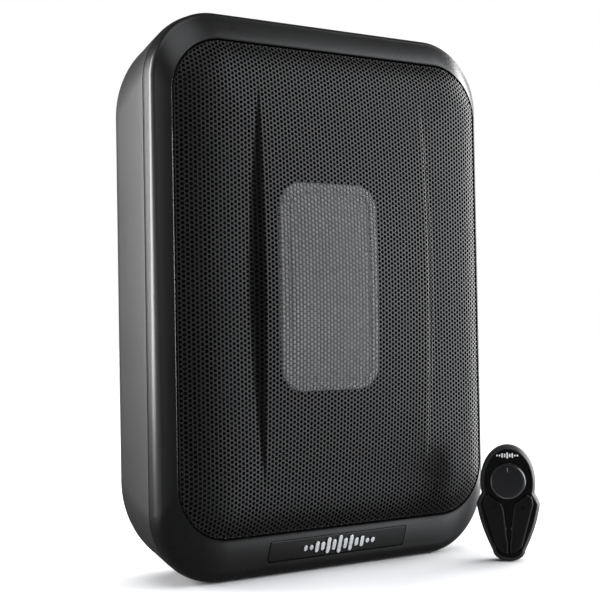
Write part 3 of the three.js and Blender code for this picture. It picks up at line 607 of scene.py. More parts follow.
def build_brushed(add, given):
    """Brushed metal: long streaks across one axis, which vary the colour, the gloss and the relief."""
    place = add("ShaderNodeTexCoord").outputs["Object"]
    drawn = add("ShaderNodeVectorMath", {0: place, 1: given["Stretch"]}, operation="MULTIPLY")
    streak = add("ShaderNodeTexNoise", {"Vector": drawn.outputs[0], "Scale": 1.0, "Detail": 4.0})
    return streaked(add, given, streak.outputs["Fac"], 0.8, 1.15, 0.3, 0.00005)


BRUSHED = effect("brushed_metal", build_brushed, Stretch="Vector")


def metal(name, colour, roughness, stretch):
    """A brushed metal, with `stretch` streaks a metre along each axis."""
    values = {"Colour": (*colour, 1), "Roughness": roughness, "Stretch": stretch}
    return finish(name, BRUSHED, values, Metallic=1.0)


EMBLEM_METAL = metal("emblem_metal", (0.85, 0.86, 0.88), 0.4, (60, 3000, 3000))


def wave_bars(count, pitch, width, height, bar, front, back):
    """Upright bars in a row whose heights swell and fade about the middle, as `bar` lays each one."""
    bars = []
    for k in range(count):
        away = abs(k - (count - 1) / 2) / ((count - 1) / 2)
        tall = height * (0.3 + 0.7 * np.cos(away * np.pi / 2) ** 1.2) * (0.62 if k % 2 else 1)
        flat = rounded(width, max(tall, 1.05 * width), 0.5 * width, 4, 2) + [(k - (count - 1) / 2) * pitch, 0]
        bars.append(skin(bar(flat, front, back)))
    return together(*bars)


def emblem_bar(flat, front, back):
    """One bar of the badge's emblem, laid on the lower face at its height."""
    return laid_on_face(flat + [0, EMBLEM_Z], front, back, 0.22)


piece(
    "emblem", wave_bars(13, 4.3, 2.9, 11.6, emblem_bar, 0.95, 0.25),
    EMBLEM_METAL, "enclosure", "badge_metal", "badge_emblem",
)

# ---------------------------------------------------------------- grille
# One domed sheet of steel with a staggered pattern of round holes in upright columns, pressed with
# a raised centre panel between two wings, its rim folded back into the bezel's mouth and powder
# coated satin black. It is built in six strips, each a net of the same cells. The walls of the two
# creases carry a darker material, painted shade that stands in for the shadow that lies in them.

PITCH = 2.85
HOLE_RADIUS = 1.14
SHEET = 0.7
RIM_RADIUS = 1.6
SKIRT = 5.0
DOME, EASE = 9.5, 13.0
PANEL_HALF, STEP_HEIGHT, STEP_WIDTH, STEP_HALF_LENGTH = 61.5, 4.7, 9.0, 121.0
STEP_TAPER = 1.15


def past_outline(x, z):
    """Offsets from the centre of the nearest corner, their length, and the distance past the outline."""
    dx = np.abs(x) - (GRILLE[0] / 2 - GRILLE[2])
    dz = np.abs(z - GRILLE[3]) - (GRILLE[1] / 2 - GRILLE[2])
    corner = np.hypot(np.maximum(dx, 0), np.maximum(dz, 0))
    return dx, dz, corner, corner + np.minimum(np.maximum(dx, dz), 0) - GRILLE[2]


def step_share(z):
    """The raised panel's step at height z as a share of its most, tapering to nothing at both ends."""
    along = (z - GRILLE[3] - 2) / STEP_HALF_LENGTH
    return np.maximum(0, 1 - along**2) ** STEP_TAPER


def grille_point(x, z):
    """The sheet's front: a dome easing off from the rim, with the raised panel, and the folded rim.

    A point further out than the rim lies on the fold, at its nearest place on the rim and turned
    back through the fold's quarter circle and then straight back along the skirt.
    """
    dx, dz, corner, beyond = past_outline(x, z)
    beyond = beyond + RIM_RADIUS
    out_x = np.where((dx > 0) & (dz > 0), np.maximum(dx, 0) / np.maximum(corner, 1e-9), dx > dz)
    out_z = np.where((dx > 0) & (dz > 0), np.maximum(dz, 0) / np.maximum(corner, 1e-9), dx <= dz)
    out_x, out_z = out_x * np.sign(x), out_z * np.sign(z - GRILLE[3])
    past = np.maximum(beyond, 0)
    base_x, base_z = x - out_x * past, z - out_z * past
    bend = np.minimum(past / RIM_RADIUS, np.pi / 2)
    outward = RIM_RADIUS * np.sin(bend)
    back = RIM_RADIUS * (1 - np.cos(bend)) + np.maximum(past - RIM_RADIUS * np.pi / 2, 0)

    depth = np.maximum(-beyond + RIM_RADIUS, RIM_RADIUS)
    dome = DOME * (1 - np.exp(-depth / EASE))
    share = step_share(base_z)
    fall = np.clip(1 - (np.abs(base_x) - PANEL_HALF) / (STEP_WIDTH * share + 0.01), 0, 1)
    fall = 0.75 * fall + 0.25 * fall * fall * (3 - 2 * fall)
    crown = 1.2 * np.maximum(0, 1 - (base_x / PANEL_HALF) ** 2) * share
    y = GRILLE_EDGE_Y - dome - STEP_HEIGHT * share * fall - crown + back
    return np.stack([base_x + out_x * outward, y, base_z + out_z * outward], -1)


def sheet_normal(x, z):
    """Outward unit normal of the sheet's front, from differences over a tenth of a millimetre."""
    across = grille_point(x + 0.05, z) - grille_point(x - 0.05, z)
    upward = grille_point(x, z + 0.05) - grille_point(x, z - 0.05)
    return unit(np.cross(across, upward))


column, row = np.meshgrid(np.arange(-52, 53), np.arange(-63, 64))
cell_x = column * PITCH * np.sqrt(3) / 2
cell_z = GRILLE[3] + (row + 0.5 * (column % 2)) * PITCH
inside = past_outline(cell_x, cell_z)[3] < SKIRT
cells = np.stack([cell_x[inside], cell_z[inside]], -1)
turn = np.radians(np.arange(12) * 30)
round_cell = np.stack([np.cos(turn), np.sin(turn)], 1)
cell_edge = np.where(np.arange(12) % 2, PITCH / 2, PITCH / np.sqrt(3))[:, None] * round_cell
hole_edge = HOLE_RADIUS * round_cell


def perforated(cells):
    """The sheet over these cells: each a twelve-sided hole in a hexagon, shared with its neighbours."""
    count = len(cells)
    corners = (cells[:, None] + cell_edge).reshape(-1, 2)
    _, first, shared = np.unique(np.round(corners, 3), axis=0, return_index=True, return_inverse=True)
    flat = np.concatenate([corners[first], (cells[:, None] + hole_edge).reshape(-1, 2)])
    front = grille_point(flat[:, 0], flat[:, 1])
    behind = front - SHEET * sheet_normal(flat[:, 0], flat[:, 1])
    lift = len(flat)
    outer = shared.reshape(count, 12)
    hole = len(first) + np.arange(count * 12).reshape(count, 12)
    outer_next, hole_next = np.roll(outer, -1, 1), np.roll(hole, -1, 1)
    quads = [
        np.stack([outer, outer_next, hole_next, hole], -1),
        np.stack([hole, hole_next, hole_next + lift, hole + lift], -1),
        np.stack([outer_next + lift, outer + lift, hole + lift, hole_next + lift], -1),
    ]
    runs = np.stack([outer.ravel(), outer_next.ravel()], -1)
    key = np.sort(runs, 1) @ np.array([lift, 1])
    _, where, times = np.unique(key, return_inverse=True, return_counts=True)
    a, b = runs[times[where] == 1].T
    quads.append(np.stack([b, a, a + lift, b + lift], -1))
    faces = np.concatenate([q.reshape(-1, 4) for q in quads])
    return np.concatenate([front, behind]), faces.tolist()


GRILLE_BLACK = moulded("grille_powder_coat", 0.014, 0.36, 5200.0, 0.5, Specular_IOR_Level=0.27)
CREASE_PAINTED_SHADE = moulded("crease_shade", 0.005, 0.6, 5200.0, 0.5, Specular_IOR_Level=0.18)
STRIPS = ["left_rim", "left_wing", "left_centre", "right_centre", "right_wing", "right_rim"]
bands = np.digitize(cells[:, 0], [-80, -40.5, -0.5, 40.5, 80])
for number, name in enumerate(STRIPS):
    strip = piece(
        "grille_" + name, perforated(cells[bands == number]), GRILLE_BLACK,
        "enclosure", "grille_paint", "grille", sharp=50, extra=(CREASE_PAINTED_SHADE,),
    )
    # Painted shade: the crease walls' faces, all but a thin edge on the right, take the darker material in
    # place of the shadow in the creases.
    x, _, z = face_values(strip, "center") * 1000
    across = np.abs(x) - PANEL_HALF
    foot_of_wall = (STEP_WIDTH - 2.0) * step_share(z)
    second_finish(strip, (across > np.where(x < 0, 0.6, 2.2)) & (across < foot_of_wall))

# ---------------------------------------------------------------- driver
# A racetrack bass driver on the baffle: a pressed black steel basket, a rubber half-roll surround,
# a black cone and a flat pale grey plate in its middle that shows through the grille.

DRIVER_Z = 177
FLANGE = np.array([212, 276, 72, DRIVER_Z])
CONE = np.array([152, 216, 50, DRIVER_Z])
PLATE = np.array([74.4, 131, 16, 178.6])
PLATE_FRONT_Y = -29.3

DIAPHRAGM_GREY = moulded("diaphragm_grey", 0.42, 0.5, 1500.0, 0.25, (1, 1, 1.02))
CONE_BLACK = moulded("cone_black", 0.003, 0.85, 1200.0, 0.5, Specular_IOR_Level=0.08)
RUBBER = moulded("surround_rubber", 0.004, 0.85, 900.0, 0.3, Specular_IOR_Level=0.08)

plate_edge = [(0.4, -18.9), (0.0, -27.4), (-0.4, -27.4), (-0.4, PLATE_FRONT_Y + 1.2)]
for rise in np.sin(np.linspace(0.2, 1, 5) * np.pi / 2):
    plate_edge.append((-0.4 + 1.2 * rise**2, PLATE_FRONT_Y + 1.2 * (1 - rise)))
plate_edge += [(5.5, PLATE_FRONT_Y), (6.2, PLATE_FRONT_Y + 0.7), (7.0, PLATE_FRONT_Y + 0.7)]
plate_edge += [(7.7, PLATE_FRONT_Y), (15, PLATE_FRONT_Y)]
plate_rings = [ring(inset(PLATE, by), y, 12, 6) for by, y in plate_edge]
diaphragm = piece(
    "diaphragm_plate", skin(plate_rings), DIAPHRAGM_GREY, "diaphragm", "diaphragm_grey", "centre_plate",
    extra=(CONE_BLACK,),
)
second_finish(diaphragm, face_values(diaphragm, "center")[1] > -0.0275)


def cone_ring(share, y):
    """A ring of the cone, from its flat middle (share 0) out to its rim (share 1)."""
    flat = np.array([94, 150, 26, DRIVER_Z])
    return ring(flat + (CONE - flat) * share, y, 16, 6)


front = [(1.0, -26.9), (0.97, -27.0), (0.9, -26.2), (0.6, -23.9), (0.3, -21.4), (0.06, -18.9), (0.0, -18.6)]
behind = [(0.0, -17.4), (0.1, -18.1), (0.4, -20.8), (0.7, -23.4), (0.97, -25.7), (1.0, -26.0)]
neck = np.array([40, 40, 19.4, DRIVER_Z])
cone_rings = [cone_ring(*at) for at in front] + [ring(neck, -18.6, 16, 6), ring(neck, -17.4, 16, 6)]
cone_rings += [cone_ring(*at) for at in behind]
piece("cone_body", skin(cone_rings, loop=True), CONE_BLACK, "diaphragm", "cone_black", "cone")

arc = np.radians(np.linspace(0, 180, 13))
roll_out = [(0.5 - 0.5 * np.cos(a), -26.6 - 7 * np.sin(a)) for a in arc]
roll_in = [(0.5 - 0.5 * 6 / 7 * np.cos(a), -26.6 - 6 * np.sin(a)) for a in arc[::-1]]
outer_edge, inner_edge = inset(FLANGE, 15), inset(CONE, -0.5)
section = [ring(outer_edge + (inner_edge - outer_edge) * share, y, 24, 8) for share, y in roll_out + roll_in]
stations = np.stack(section, 1)
stations = np.concatenate([stations, stations[:1]])
for number in range(16):
    sector = stations[number * 8 : number * 8 + 9]
    roll_piece = piece(
        f"surround_sector_{number + 1}", skin(sector), RUBBER, None, "rubber_black", "surround"
    )
    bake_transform(roll_piece)


def dress(material, *names):
    """Gives CAD nodes that keep their shape a finished material."""
    for name in names:
        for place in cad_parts[name].material_slots:
            place.material = material


def build_cloth(add, given):
    """Woven cloth stiffened with resin: two crossing sets of threads, darker between them."""
    place = add("ShaderNodeTexCoord").outputs["Object"]
    warp = add("ShaderNodeTexWave", {"Vector": place, "Scale": given["Scale"]}, bands_direction="X")
    weft = add("ShaderNodeTexWave", {"Vector": place, "Scale": given["Scale"]}, bands_direction="Z")
    over = add("ShaderNodeMath", {0: warp.outputs["Fac"], 1: weft.outputs["Fac"]}, operation="MAXIMUM")
    tone = add("ShaderNodeMath", {0: over.outputs[0], 1: 0.5, 2: 0.55}, operation="MULTIPLY_ADD")
    colour = add("ShaderNodeVectorMath", {0: given["Colour"], "Scale": tone.outputs[0]}, operation="SCALE")
    rough = add("ShaderNodeMath", {0: given["Roughness"], 1: 0.0}, operation="ADD")
    bump = add("ShaderNodeBump", {"Strength": 0.6, "Distance": 0.0002, "Height": over.outputs[0]})
    return colour.outputs[0], rough.outputs[0], bump.outputs["Normal"]


CLOTH = effect("resin_cloth", build_cloth, Scale="Float")
resin_brown = {"Colour": (0.43, 0.2, 0.04, 1), "Roughness": 0.85, "Scale": 260.0}
dress(finish("spider_cloth", CLOTH, resin_brown), "spider")
dress(moulded("basket_paint", 0.003, 0.85, 1800.0, 0.4, Specular_IOR_Level=0.08), "basket")
dress(RUBBER, "gasket")
dress(moulded("ferrite", 0.035, 0.55, 700.0, 0.9), "magnet")
dress(moulded("terminal_black", 0.02, 0.5, 1500.0, 0.4), "terminal_strip")
MOTOR_STEEL = metal("motor_steel", (0.5, 0.51, 0.52), 0.4, (400, 400, 2500))
dress(MOTOR_STEEL, "top_plate", "back_plate")
dress(metal("enamelled_copper", (0.6, 0.27, 0.11), 0.35, (60, 5000, 60)), "voice_coil", "inductor")
SCREW_STEEL = metal("screw_steel", (0.12, 0.12, 0.125), 0.35, (1500, 1500, 1500))
BLACK_OXIDE = moulded("black_oxide", 0.003, 0.7, 2500.0, 0.3, Specular_IOR_Level=0.1)
dress(BLACK_OXIDE, *[f"driver_screw_{number}" for number in range(1, 7)])

# ---------------------------------------------------------------- back fittings
# Four ribbed rubber feet glued to the back, four black machine screws sunk in their holes, and the
# cast finned plate of the amplifier, which stands flush in its window in the back wall.

FEET = [(-92, 64), (92, 64), (-92, 278), (92, 278)]
foot = [(8.2, BACK_Y + 0.3), (9, BACK_Y + 0.9), (9, BACK_Y + 1.6), (8.3, BACK_Y + 2.3), (7.2, BACK_Y + 2.5)]
foot += [(6.4, BACK_Y + 2.5), (6.1, BACK_Y + 2.1), (5.5, BACK_Y + 2.1), (5.2, BACK_Y + 2.5)]
foot += [(4.0, BACK_Y + 2.5), (3.7, BACK_Y + 2.1), (3.1, BACK_Y + 2.1), (2.8, BACK_Y + 2.5)]
for number, (x, z) in enumerate(FEET, 1):
    piece(
        f"foot_{number}", turned(foot, (x, 0, z), "y", 40), RUBBER,
        "enclosure", "rubber_black", f"rear_foot_{number}",
    )

recess = [
    block((-wide, BACK_Y - 2.6, -tall), (wide, BACK_Y + 1, tall), 0.2, 0.0, "y")
    for wide, tall in [(2.1, 0.45), (0.45, 2.1)]
]
head = [(1.4, -20), (1.4, BACK_Y - 3.3), (3.6, BACK_Y - 3.3), (3.6, BACK_Y - 2.2), (3.2, BACK_Y - 1.4)]
head += [(2.3, BACK_Y - 1.05), (1.2, BACK_Y - 1.0)]
for number, (x, z) in enumerate(SCREWS, 1):
    screw = piece(
        f"case_screw_{number}", turned(head, (x, 0, z), "y", 32), SCREW_STEEL,
        "enclosure", "fixing_steel", f"housing_screw_{number}",
    )
    for points, faces in recess:
        carve(screw, (points + [x, 0, z], faces))

inner = BACK_Y - WALL - 0.3
half, low, high = SINK["half"], SINK["low"], SINK["high"]
dark_grey = {"Colour": (0.05, 0.052, 0.056, 1), "Roughness": 0.42, "Scale": 1500.0, "Relief": 0.6}
SINK_METAL = finish("sink_anodised", GRAIN, dark_grey, Metallic=0.85)
base = block((-half - 4, inner - 2.6, low - 4), (half + 4, inner, high + 4), 1.5, 0.3, "y")
fins = []
for number in range(12):
    fin_low = low + (0.0 if number == 0 else 1.6 + 6 * number)
    fin_high = min(low + 4.2 + 6 * number, high)
    tip = [(fin_low + 0.25, BACK_Y - 0.2), (fin_high - 0.25, BACK_Y - 0.2)]
    profile = eased([(fin_low, inner - 0.4), *tip, (fin_high, inner - 0.4)], 0.6, 4)
    along = np.array([-half, -half + 0.5, half - 0.5, half])
    pinch = np.array([0.5, 0.0, 0.0, 0.5])
    ring_z, ring_y = profile[:, 0], profile[:, 1]
    middle = (fin_low + fin_high) / 2
    rings = []
    for x, by in zip(along, pinch):
        lowered = ring_y - by * (ring_y > BACK_Y - 1.5)
        narrowed = middle + (ring_z - middle) * (1 - by / 4)
        rings.append(np.stack([np.full(len(ring_z), x), lowered, narrowed], -1))
    fins.append(skin(rings))
piece("finned_plate", together(base, *fins), SINK_METAL, "enclosure", "heat_sink_alu", "heat_sink")

# ---------------------------------------------------------------- amplifier
# The circuit board behind the finned plate with its two storage capacitors, output choke and the
# power transistors, all out of sight inside the case.

BOARD_GREEN = moulded("solder_mask_green", 0.3, 0.35, 900.0, 0.2, (0.08, 0.42, 0.18))
SLEEVE_BLACK = moulded("capacitor_sleeve", 0.018, 0.25, 800.0, 0.1, Coat_Weight=0.4)
dress(BOARD_GREEN, "amp_board")
dress(SLEEVE_BLACK, "capacitor_1", "capacitor_2")
dress(moulded("transistor_case", 0.02, 0.5, 1500.0, 0.4), "transistor_bank")

# ---------------------------------------------------------------- control panel
# A flat black panel clipped into the well in the end wall. It carries the power and speaker-level
# sockets, two gold line jacks, three trimmer knobs ringed with printed dots, the phase switch, the
# power light and the jack for the remote.

PANEL_TOP = WELL["floor"] + 2.5
MIDDLE_Y = WELL["middle"]
DIALS = {"gain": 14, "lowpass": 28, "boost": 42}
SOCKETS = {
    "power": ((-73, -47), (-4, 10), (321, 342), 2.3, 12),
    "high_level": ((-44, -24), (-3, 9), (323, 341), 1.8, 10),
}
PANEL_BLACK = moulded("panel_black", 0.022, 0.5, 3200.0, 0.6)
PRINT_WHITE = moulded("printed_white", 0.75, 0.55, 2000.0, 0.1)
half_x, half_y = WELL["width"] / 2 - 0.3, WELL["depth"] / 2 - 0.3
slab = block(
    (-half_x, MIDDLE_Y - half_y, WELL["floor"]), (half_x, MIDDLE_Y + half_y, PANEL_TOP), 2.0, 0.35
)
panel_piece = piece("controls_panel", slab, PANEL_BLACK, "enclosure", "satin_black_plastic", "control_panel")
openings = [
    block((x[0] - 0.3, y[0] - 0.3, 330), (x[1] + 0.3, y[1] + 0.3, PANEL_TOP + 1), 1.2, 0.0)
    for x, y, *_ in SOCKETS.values()
]
openings += [block((49.7, -4.3, 330), (58.3, 10.3, PANEL_TOP + 1), 0.6, 0.0)]
bores = [(-15, MIDDLE_Y, 3.8), (-1, MIDDLE_Y, 3.8), (54, 13.6, 1.8), (67, MIDDLE_Y, 3.8)]
bores += [(x, MIDDLE_Y, 1.9) for x in DIALS.values()]
openings += [turned([(r, 330), (r, PANEL_TOP + 1)], (x, y, 0), "z", 32) for x, y, r in bores]
carve(panel_piece, together(*openings))
dots = []
for x in DIALS.values():
    for step, turn_deg in enumerate(np.linspace(-240, 60, 11)):
        a = np.radians(turn_deg)
        size = 0.42 if step in (0, 5, 10) else 0.28
        place = (x + 6.3 * np.cos(a), MIDDLE_Y + 6.3 * np.sin(a), 0)
        dots.append(turned([(size, PANEL_TOP - 0.1), (size, PANEL_TOP + 0.06)], place, "z", 10))
piece("dial_dots", together(*dots), PRINT_WHITE, "enclosure", "satin_black_plastic")

SOCKET_BLACK = moulded("socket_nylon", 0.02, 0.48, 1400.0, 0.35)
CONTACT_GOLD = metal("contact_gold", (0.75, 0.53, 0.2), 0.25, (3000, 3000, 200))
for name, (x, y, z, wall, depth) in SOCKETS.items():
    shell = piece(
        f"{name}_inlet", block((x[0], y[0], z[0]), (x[1], y[1], z[1]), 1.0, 0.4), SOCKET_BLACK,
        "enclosure", "connector_black", f"{name}_socket",
    )
    cavity = block(
        (x[0] + wall, y[0] + wall, z[1] - depth), (x[1] - wall, y[1] - wall, z[1] + 0.02), 0.8, 0.0, "z", 0.5
    )
    carve(shell, cavity)
    columns, rows, width = (2, 2, 1.5) if name == "power" else (4, 2, 0.9)
    pins = []
    for i in range(columns):
        for j in range(rows):
            px = x[0] + wall + (x[1] - x[0] - 2 * wall) * (i + 0.5) / columns
            py = y[0] + wall + (y[1] - y[0] - 2 * wall) * (j + 0.5) / rows
            foot_at = (px - width / 2, py - width / 2, z[1] - depth - 1)
            pins.append(block(foot_at, (px + width / 2, py + width / 2, z[1] - 2.5), 0.3, 0.4))
    piece(f"{name}_pins", together(*pins), CONTACT_GOLD, "enclosure", "jack_gold")
    latch = block(
        (sum(x) / 2 - 3, y[0] - 0.8, PANEL_TOP + 0.5), (sum(x) / 2 + 3, y[0] + 0.5, z[1] - 1.2), 0.3, 0.3
    )
    carve(shell, latch, "UNION")


def jack(name, node, x, barrel, top, bore, metal, slot, core):
    """A round jack: hexagon nut on the panel, ribbed barrel, and an insulator round its blind hole."""
    seat = PANEL_TOP + 0.3
    a = np.radians(np.arange(48) * 7.5)
    hexagon = 5.5 / np.cos((a + np.pi / 6) % (np.pi / 3) - np.pi / 6)
    hexagon = np.minimum(hexagon, 5.8)
    nut = []
    for share, z in [(0.97, seat), (1, seat + 0.15), (1, seat + 1.55), (0.94, seat + 1.8)]:
        nut.append(np.stack([hexagon * share * np.cos(a), hexagon * share * np.sin(a), 0 * a + z], -1))
    nut_shape = skin(nut)
    nut_shape = (nut_shape[0] + [x, MIDDLE_Y, 0], nut_shape[1])
    tube = [(bore + 1.0, top - 12), (3.4, top - 12), (3.4, seat - 0.5), (barrel, seat - 0.2)]
    tube += [(barrel, top - 4.2), (barrel - 0.25, top - 4.0), (barrel - 0.25, top - 3.6), (barrel, top - 3.4)]
    tube += [(barrel, top - 0.5), (barrel - 0.4, top), (bore + 1.2, top), (bore + 1.0, top - 0.3)]
    barrel_shape = turned(tube, (x, MIDDLE_Y, 0), "z", 48, loop=True)
    shank = turned([(3.4, 324), (3.4, top - 12.2)], (x, MIDDLE_Y, 0), "z", 32)
    piece(name, together(nut_shape, barrel_shape, shank), metal, "enclosure", slot, node)
    lining = [(bore, top - 11.5), (bore + 0.95, top - 11.5), (bore + 0.95, top - 0.8)]
    lining += [(bore + 0.5, top - 0.6), (bore, top - 0.8)]
    lining_shape = turned(lining, (x, MIDDLE_Y, 0), "z", 40, loop=True)
    piece(name + "_insulator", lining_shape, core, "enclosure", "connector_black")


RED_CORE = moulded("insulator_red", 0.5, 0.35, 900.0, 0.15, (1, 0.05, 0.05))
WHITE_CORE = moulded("insulator_white", 0.75, 0.35, 900.0, 0.15)
jack("line_jack_left", "rca_left", -15, 4.1, 344, 1.6, CONTACT_GOLD, "jack_gold", WHITE_CORE)
jack("line_jack_right", "rca_right", -1, 4.1, 344, 1.6, CONTACT_GOLD, "jack_gold", RED_CORE)
jack("link_jack", "remote_socket", 67, 3.4, 341, 1.8, SOCKET_BLACK, "connector_black", SOCKET_BLACK)

KNOB_BLACK = moulded("knob_black", 0.018, 0.45, 1800.0, 0.3)
for name, x in DIALS.items():
    a = np.arange(120) * 2 * np.pi / 120
    ribs = 1 - 0.035 * (0.5 - 0.5 * np.cos(20 * a))
    rings = []
    for radius, z, ribbed in [
        (1.6, 328, 0), (1.6, PANEL_TOP + 0.7, 0), (4.3, PANEL_TOP + 0.7, 0), (4.6, PANEL_TOP + 1.0, 1),
        (4.45, 341.7, 1), (4.2, 342.3, 1), (3.7, 342.5, 0), (3.2, 342.45, 0), (3.0, 342.25, 0),
        (0.6, 342.25, 0),
    ]:
        r = radius * (ribs if ribbed else 1)
        rings.append(np.stack([x + r * np.cos(a), MIDDLE_Y + r * np.sin(a), 0 * a + z], -1))
    piece(f"{name}_trimmer", skin(rings), KNOB_BLACK, f"{name}_dial", "connector_black", f"{name}_knob")
    mark = block((x - 0.28, MIDDLE_Y + 0.8, 342.1), (x + 0.28, MIDDLE_Y + 3.6, 342.5), 0.2, 0.1)
    piece(f"{name}_trimmer_mark", mark, PRINT_WHITE, f"{name}_dial", "connector_black")

switch = piece(
    "phase_switch", block((50, -4, 328), (58, 10, 337), 0.5, 0.25), SOCKET_BLACK,
    "enclosure", "connector_black", "phase_switch_body",
)
carve(switch, block((52.2, -1.7, 332), (55.8, 7.7, 337.02), 0.3, 0.0, "z", 0.3))
lever = [block((52.6, -1.2, 332.4), (55.4, 2.8, 338.2), 0.3, 0.2)]
for y in (-1.2, -0.04, 1.12, 2.1):
    lever.append(block((52.6, y, 338.0), (55.4, y + 0.7, 340.5), 0.2, 0.25))
piece("phase_lever_cap", together(*lever), KNOB_BLACK, "phase_lever", "connector_black", "phase_slider")

LENS_BLUE = moulded("lens_blue", 0.6, 0.15, 500.0, 0.05, (0.06, 0.22, 1.0), Coat_Weight=0.6)
dome = [(1.5, 331), (1.5, PANEL_TOP + 0.1)]
dome += [(1.5 * np.cos(t), PANEL_TOP + 0.1 + 1.1 * np.sin(t)) for t in np.radians([15, 30, 45, 60, 75, 86])]
piece("power_light", turned(dome, (54, 13.6, 0), "z", 32), LENS_BLUE, "enclosure", "led_blue", "power_led")

# ---------------------------------------------------------------- remote
# The wired bass remote, stood on its tip beside the enclosure: a satin rim and back shell, a gloss
# black face with two keys that meet under the knob, and a spun aluminium knob with an index line.

TURN = np.radians(-43)
REMOTE_SPOT = np.array([104.2, -76.2, 0])
KNOB_Z = 51.8
REMOTE_EMBLEM_Z = 68.2


def stand(shape):
    """A shape drawn about the remote's own upright line, turned and moved to where it stands."""
    points, faces = shape
    c, s = np.cos(TURN), np.sin(TURN)
    return points @ np.array([[c, s, 0], [-s, c, 0], [0, 0, 1]]) + REMOTE_SPOT, faces


def moved_in(loop, by):
    """A closed outline with every point moved inwards by `by`, square to the run of its neighbours."""
    along = unit(unit(loop - np.roll(loop, 1, 0)) + unit(np.roll(loop, -1, 0) - loop))
    return loop + by * np.stack([-along[:, 1], along[:, 0]], 1)


def remote_outline(by=0.0):
    """The remote's outline moved inwards by `by`: blunt tip, bowed flanks, shoulders and a round dome."""
    a = np.radians(np.linspace(0, 90, 6))[1:]
    tip = np.stack([10.4 * np.sin(a), 7 * (1 - np.cos(a))], 1)
    t = np.linspace(0, 1, 13)[1:]
    flank = np.stack([10.4 + 9.9 * t + 1.3 * np.sin(np.pi * t), 7 + 29.8 * t], 1)
    a = np.radians(np.linspace(-18, 90, 20))
    dome = np.stack([17.7 * np.cos(a), 51 + 23.6 * np.sin(a)], 1)
    shoulder = eased([flank[-1], (18.6, 40.6), dome[0], dome[1]], 0.5, 3)
    half = np.concatenate([[[0, 0]], tip, flank[:-1], shoulder[:-1], dome[1:]])
    return moved_in(np.concatenate([half, (half * [-1, 1])[-2:0:-1]]), by)


def upright(flat, y):
    """A flat (x, z) outline stood in the plane at y."""
    return np.stack([flat[:, 0], np.full(len(flat), float(y)), flat[:, 1]], 1)


def remote_shell(rings, loop=False):
    """A standing shape whose rings are the remote's outline, moved inwards by `by` in the plane at y."""
    return stand(skin([upright(remote_outline(by), y) for by, y in rings], loop))


REMOTE_SATIN = moulded("remote_satin", 0.022, 0.36, 3000.0, 0.25, Coat_Weight=0.1)
REMOTE_GLOSS = moulded("remote_gloss", 0.002, 0.2, 900.0, 0.02, Coat_Weight=0.3, Coat_Roughness=0.08)
KEY_BLACK = moulded("key_black", 0.004, 0.4, 3600.0, 0.3)
rim_rings = [(0, -0.15), (0, -4.0), (0.12, -4.5), (0.35, -4.95), (1.5, -6.35), (1.75, -6.5), (1.95, -6.52)]
rim_rings += [(2.2, -6.5), (2.38, -6.35), (2.4, -6.1), (2.4, -0.15)]
piece(
    "remote_rim", remote_shell(rim_rings, loop=True), REMOTE_SATIN, "remote", "remote_satin",
    "remote_front_shell", sharp=30,
)

cup_rings = [(2.2, 7.5), (1.2, 7.35), (0.4, 6.6), (0.05, 5.4), (0, 4.6), (0, 0.15)]
cup_rings += [(1.8, 0.15), (1.8, 5.0), (3.4, 5.8)]
cup = piece(
    "remote_back", remote_shell(cup_rings), REMOTE_SATIN, "remote", "remote_satin",
    "remote_rear_shell", sharp=30,
)
carve(cup, stand(block((-4.4, 3, 10.6), (4.4, 7.52, 19.4), 0.6, 0.0, "y", 0.3)))

key_half = [(0.5, 4.8), (4.4, 5.6), (8.2, 9.2), (16.0, 36.8), (15.2, 41.6)]
key_half += [(11.8, 43.4), (4.8, 37.8), (3.0, 33.4), (1.0, 13.6), (0.5, 12.6)]


def key_flat(side, by=0.0):
    """One key's outline with eased corners, moved inwards by `by`, on the right (1) or the left (-1)."""
    return moved_in(eased(key_half, 1.1, 4, loop=True), by) * [side, 1]


face_rings = [(2.7, -4.2), (2.7, -5.95), (2.78, -6.12), (2.95, -6.2)]
face = piece(
    "remote_face", remote_shell(face_rings), REMOTE_GLOSS, "remote", "remote_gloss",
    "remote_face_panel", sharp=30,
)
for side in (1, -1):
    carve(face, stand(skin([upright(key_flat(side, -0.28), y) for y in (-9, -2)])))
carve(face, stand(turned([(3.3, -9), (3.3, -2)], (0, 0, KNOB_Z), "y", 40)))

SIGN_BLACK = moulded("sign_black", 0.002, 0.6, 2000.0, 0.1, Specular_IOR_Level=0.1)
for side, word in ((-1, "minus"), (1, "plus")):
    key_rings = [(0, -4.6), (0, -6.9), (0.12, -7.2), (0.38, -7.42), (0.9, -7.6), (1.3, -7.5)]
    rings = [upright(key_flat(side, by), y) for by, y in key_rings]
    middle = upright(key_flat(side, 1.3), -7.5)
    rings.append(middle * [1, 0, 1] + [0, -7.42, 0])
    centre = middle.mean(0)
    rings += [centre + (middle - centre) * [share, 0, share] + [0, 0.08, 0] for share in (0.7, 0.35, 0.05)]
    piece(
        f"{word}_key_cap", stand(skin(rings)), KEY_BLACK, f"{word}_key", "key_black",
        f"remote_{word}_key", sharp=30,
    )
    x, z = side * 9.3, 34.8
    sign = [block((x - 1.3, -7.75, z - 0.24), (x + 1.3, -7.3, z + 0.24), 0.2, 0.08, "y")]
    if side > 0:
        sign.append(block((x - 0.24, -7.74, z - 1.3), (x + 0.24, -7.3, z + 1.3), 0.2, 0.08, "y"))
    piece(f"{word}_sign", stand(together(*sign)), SIGN_BLACK, f"{word}_key", "key_black")


def wave_flat(flat, front, back):
    """One bar of the remote's emblem, upright at its height."""
    return [upright(flat + [0, REMOTE_EMBLEM_Z], y) for y in (back, front + 0.05, front)]


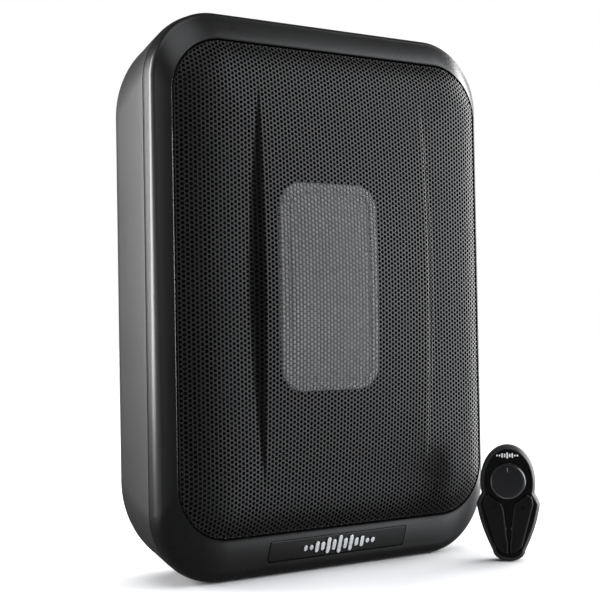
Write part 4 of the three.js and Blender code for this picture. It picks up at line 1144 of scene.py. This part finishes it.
piece(
    "remote_emblem", stand(wave_bars(9, 1.62, 1.0, 3.9, wave_flat, -6.42, -6.1)),
    PRINT_WHITE, "remote", "remote_gloss",
)


def build_spun(add, given):
    """Spun metal: fine rings about the knob's own axis, which vary the colour, gloss and relief."""
    rings = add("ShaderNodeAttribute", attribute_name="knob_radius").outputs["Fac"]
    line = add("ShaderNodeCombineXYZ", {0: rings})
    fine = add("ShaderNodeTexNoise", {"Vector": line.outputs[0], "Scale": given["Scale"], "Detail": 3.0})
    return streaked(add, given, fine.outputs["Fac"], 0.75, 1.2, 0.5, 0.0001)


SPUN = effect("spun_metal", build_spun, Scale="Float")
SPUN_METAL = finish(
    "spun_aluminium", SPUN, {"Colour": (0.13, 0.13, 0.137, 1), "Roughness": 0.36, "Scale": 4500.0},
    Metallic=1.0, Anisotropic=0.7,
)
knob = [(2.9, -4.2), (2.9, -6.8), (11.3, -6.8), (11.6, -7.1), (11.6, -7.7), (11.5, -8.0), (11.3, -12.2)]
knob += [(11.2, -12.75), (10.95, -13.1), (10.65, -13.2), (10.35, -13.1), (10.15, -12.9), (9.4, -12.72)]
knob += [(5.0, -12.62), (1.0, -12.58)]
knob_shape = turned(knob, (0, 0, KNOB_Z), "y", 96)
knob_piece = piece(
    "bass_knob", stand(knob_shape), SPUN_METAL, "remote_dial", "spun_metal", "remote_knob", sharp=35
)
places = knob_shape[0]
reach = knob_piece.data.attributes.new("knob_radius", "FLOAT", "POINT")
reach.data.foreach_set("value", (np.hypot(places[:, 0], places[:, 2] - KNOB_Z) / 1000).astype(np.float32))
INDEX_GREY = moulded("index_grey", 0.16, 0.5, 2000.0, 0.1)
index_mark = block((-0.28, -12.98, KNOB_Z + 6.4), (0.28, -12.6, KNOB_Z + 9.2), 0.2, 0.08, "y")
piece("bass_knob_index", stand(index_mark), INDEX_GREY, "remote_dial", "spun_metal")

dress(MOTOR_STEEL, "remote_potentiometer")
dress(BOARD_GREEN, "remote_board")
dress(SOCKET_BLACK, "remote_jack", "remote_minus_switch", "remote_plus_switch")
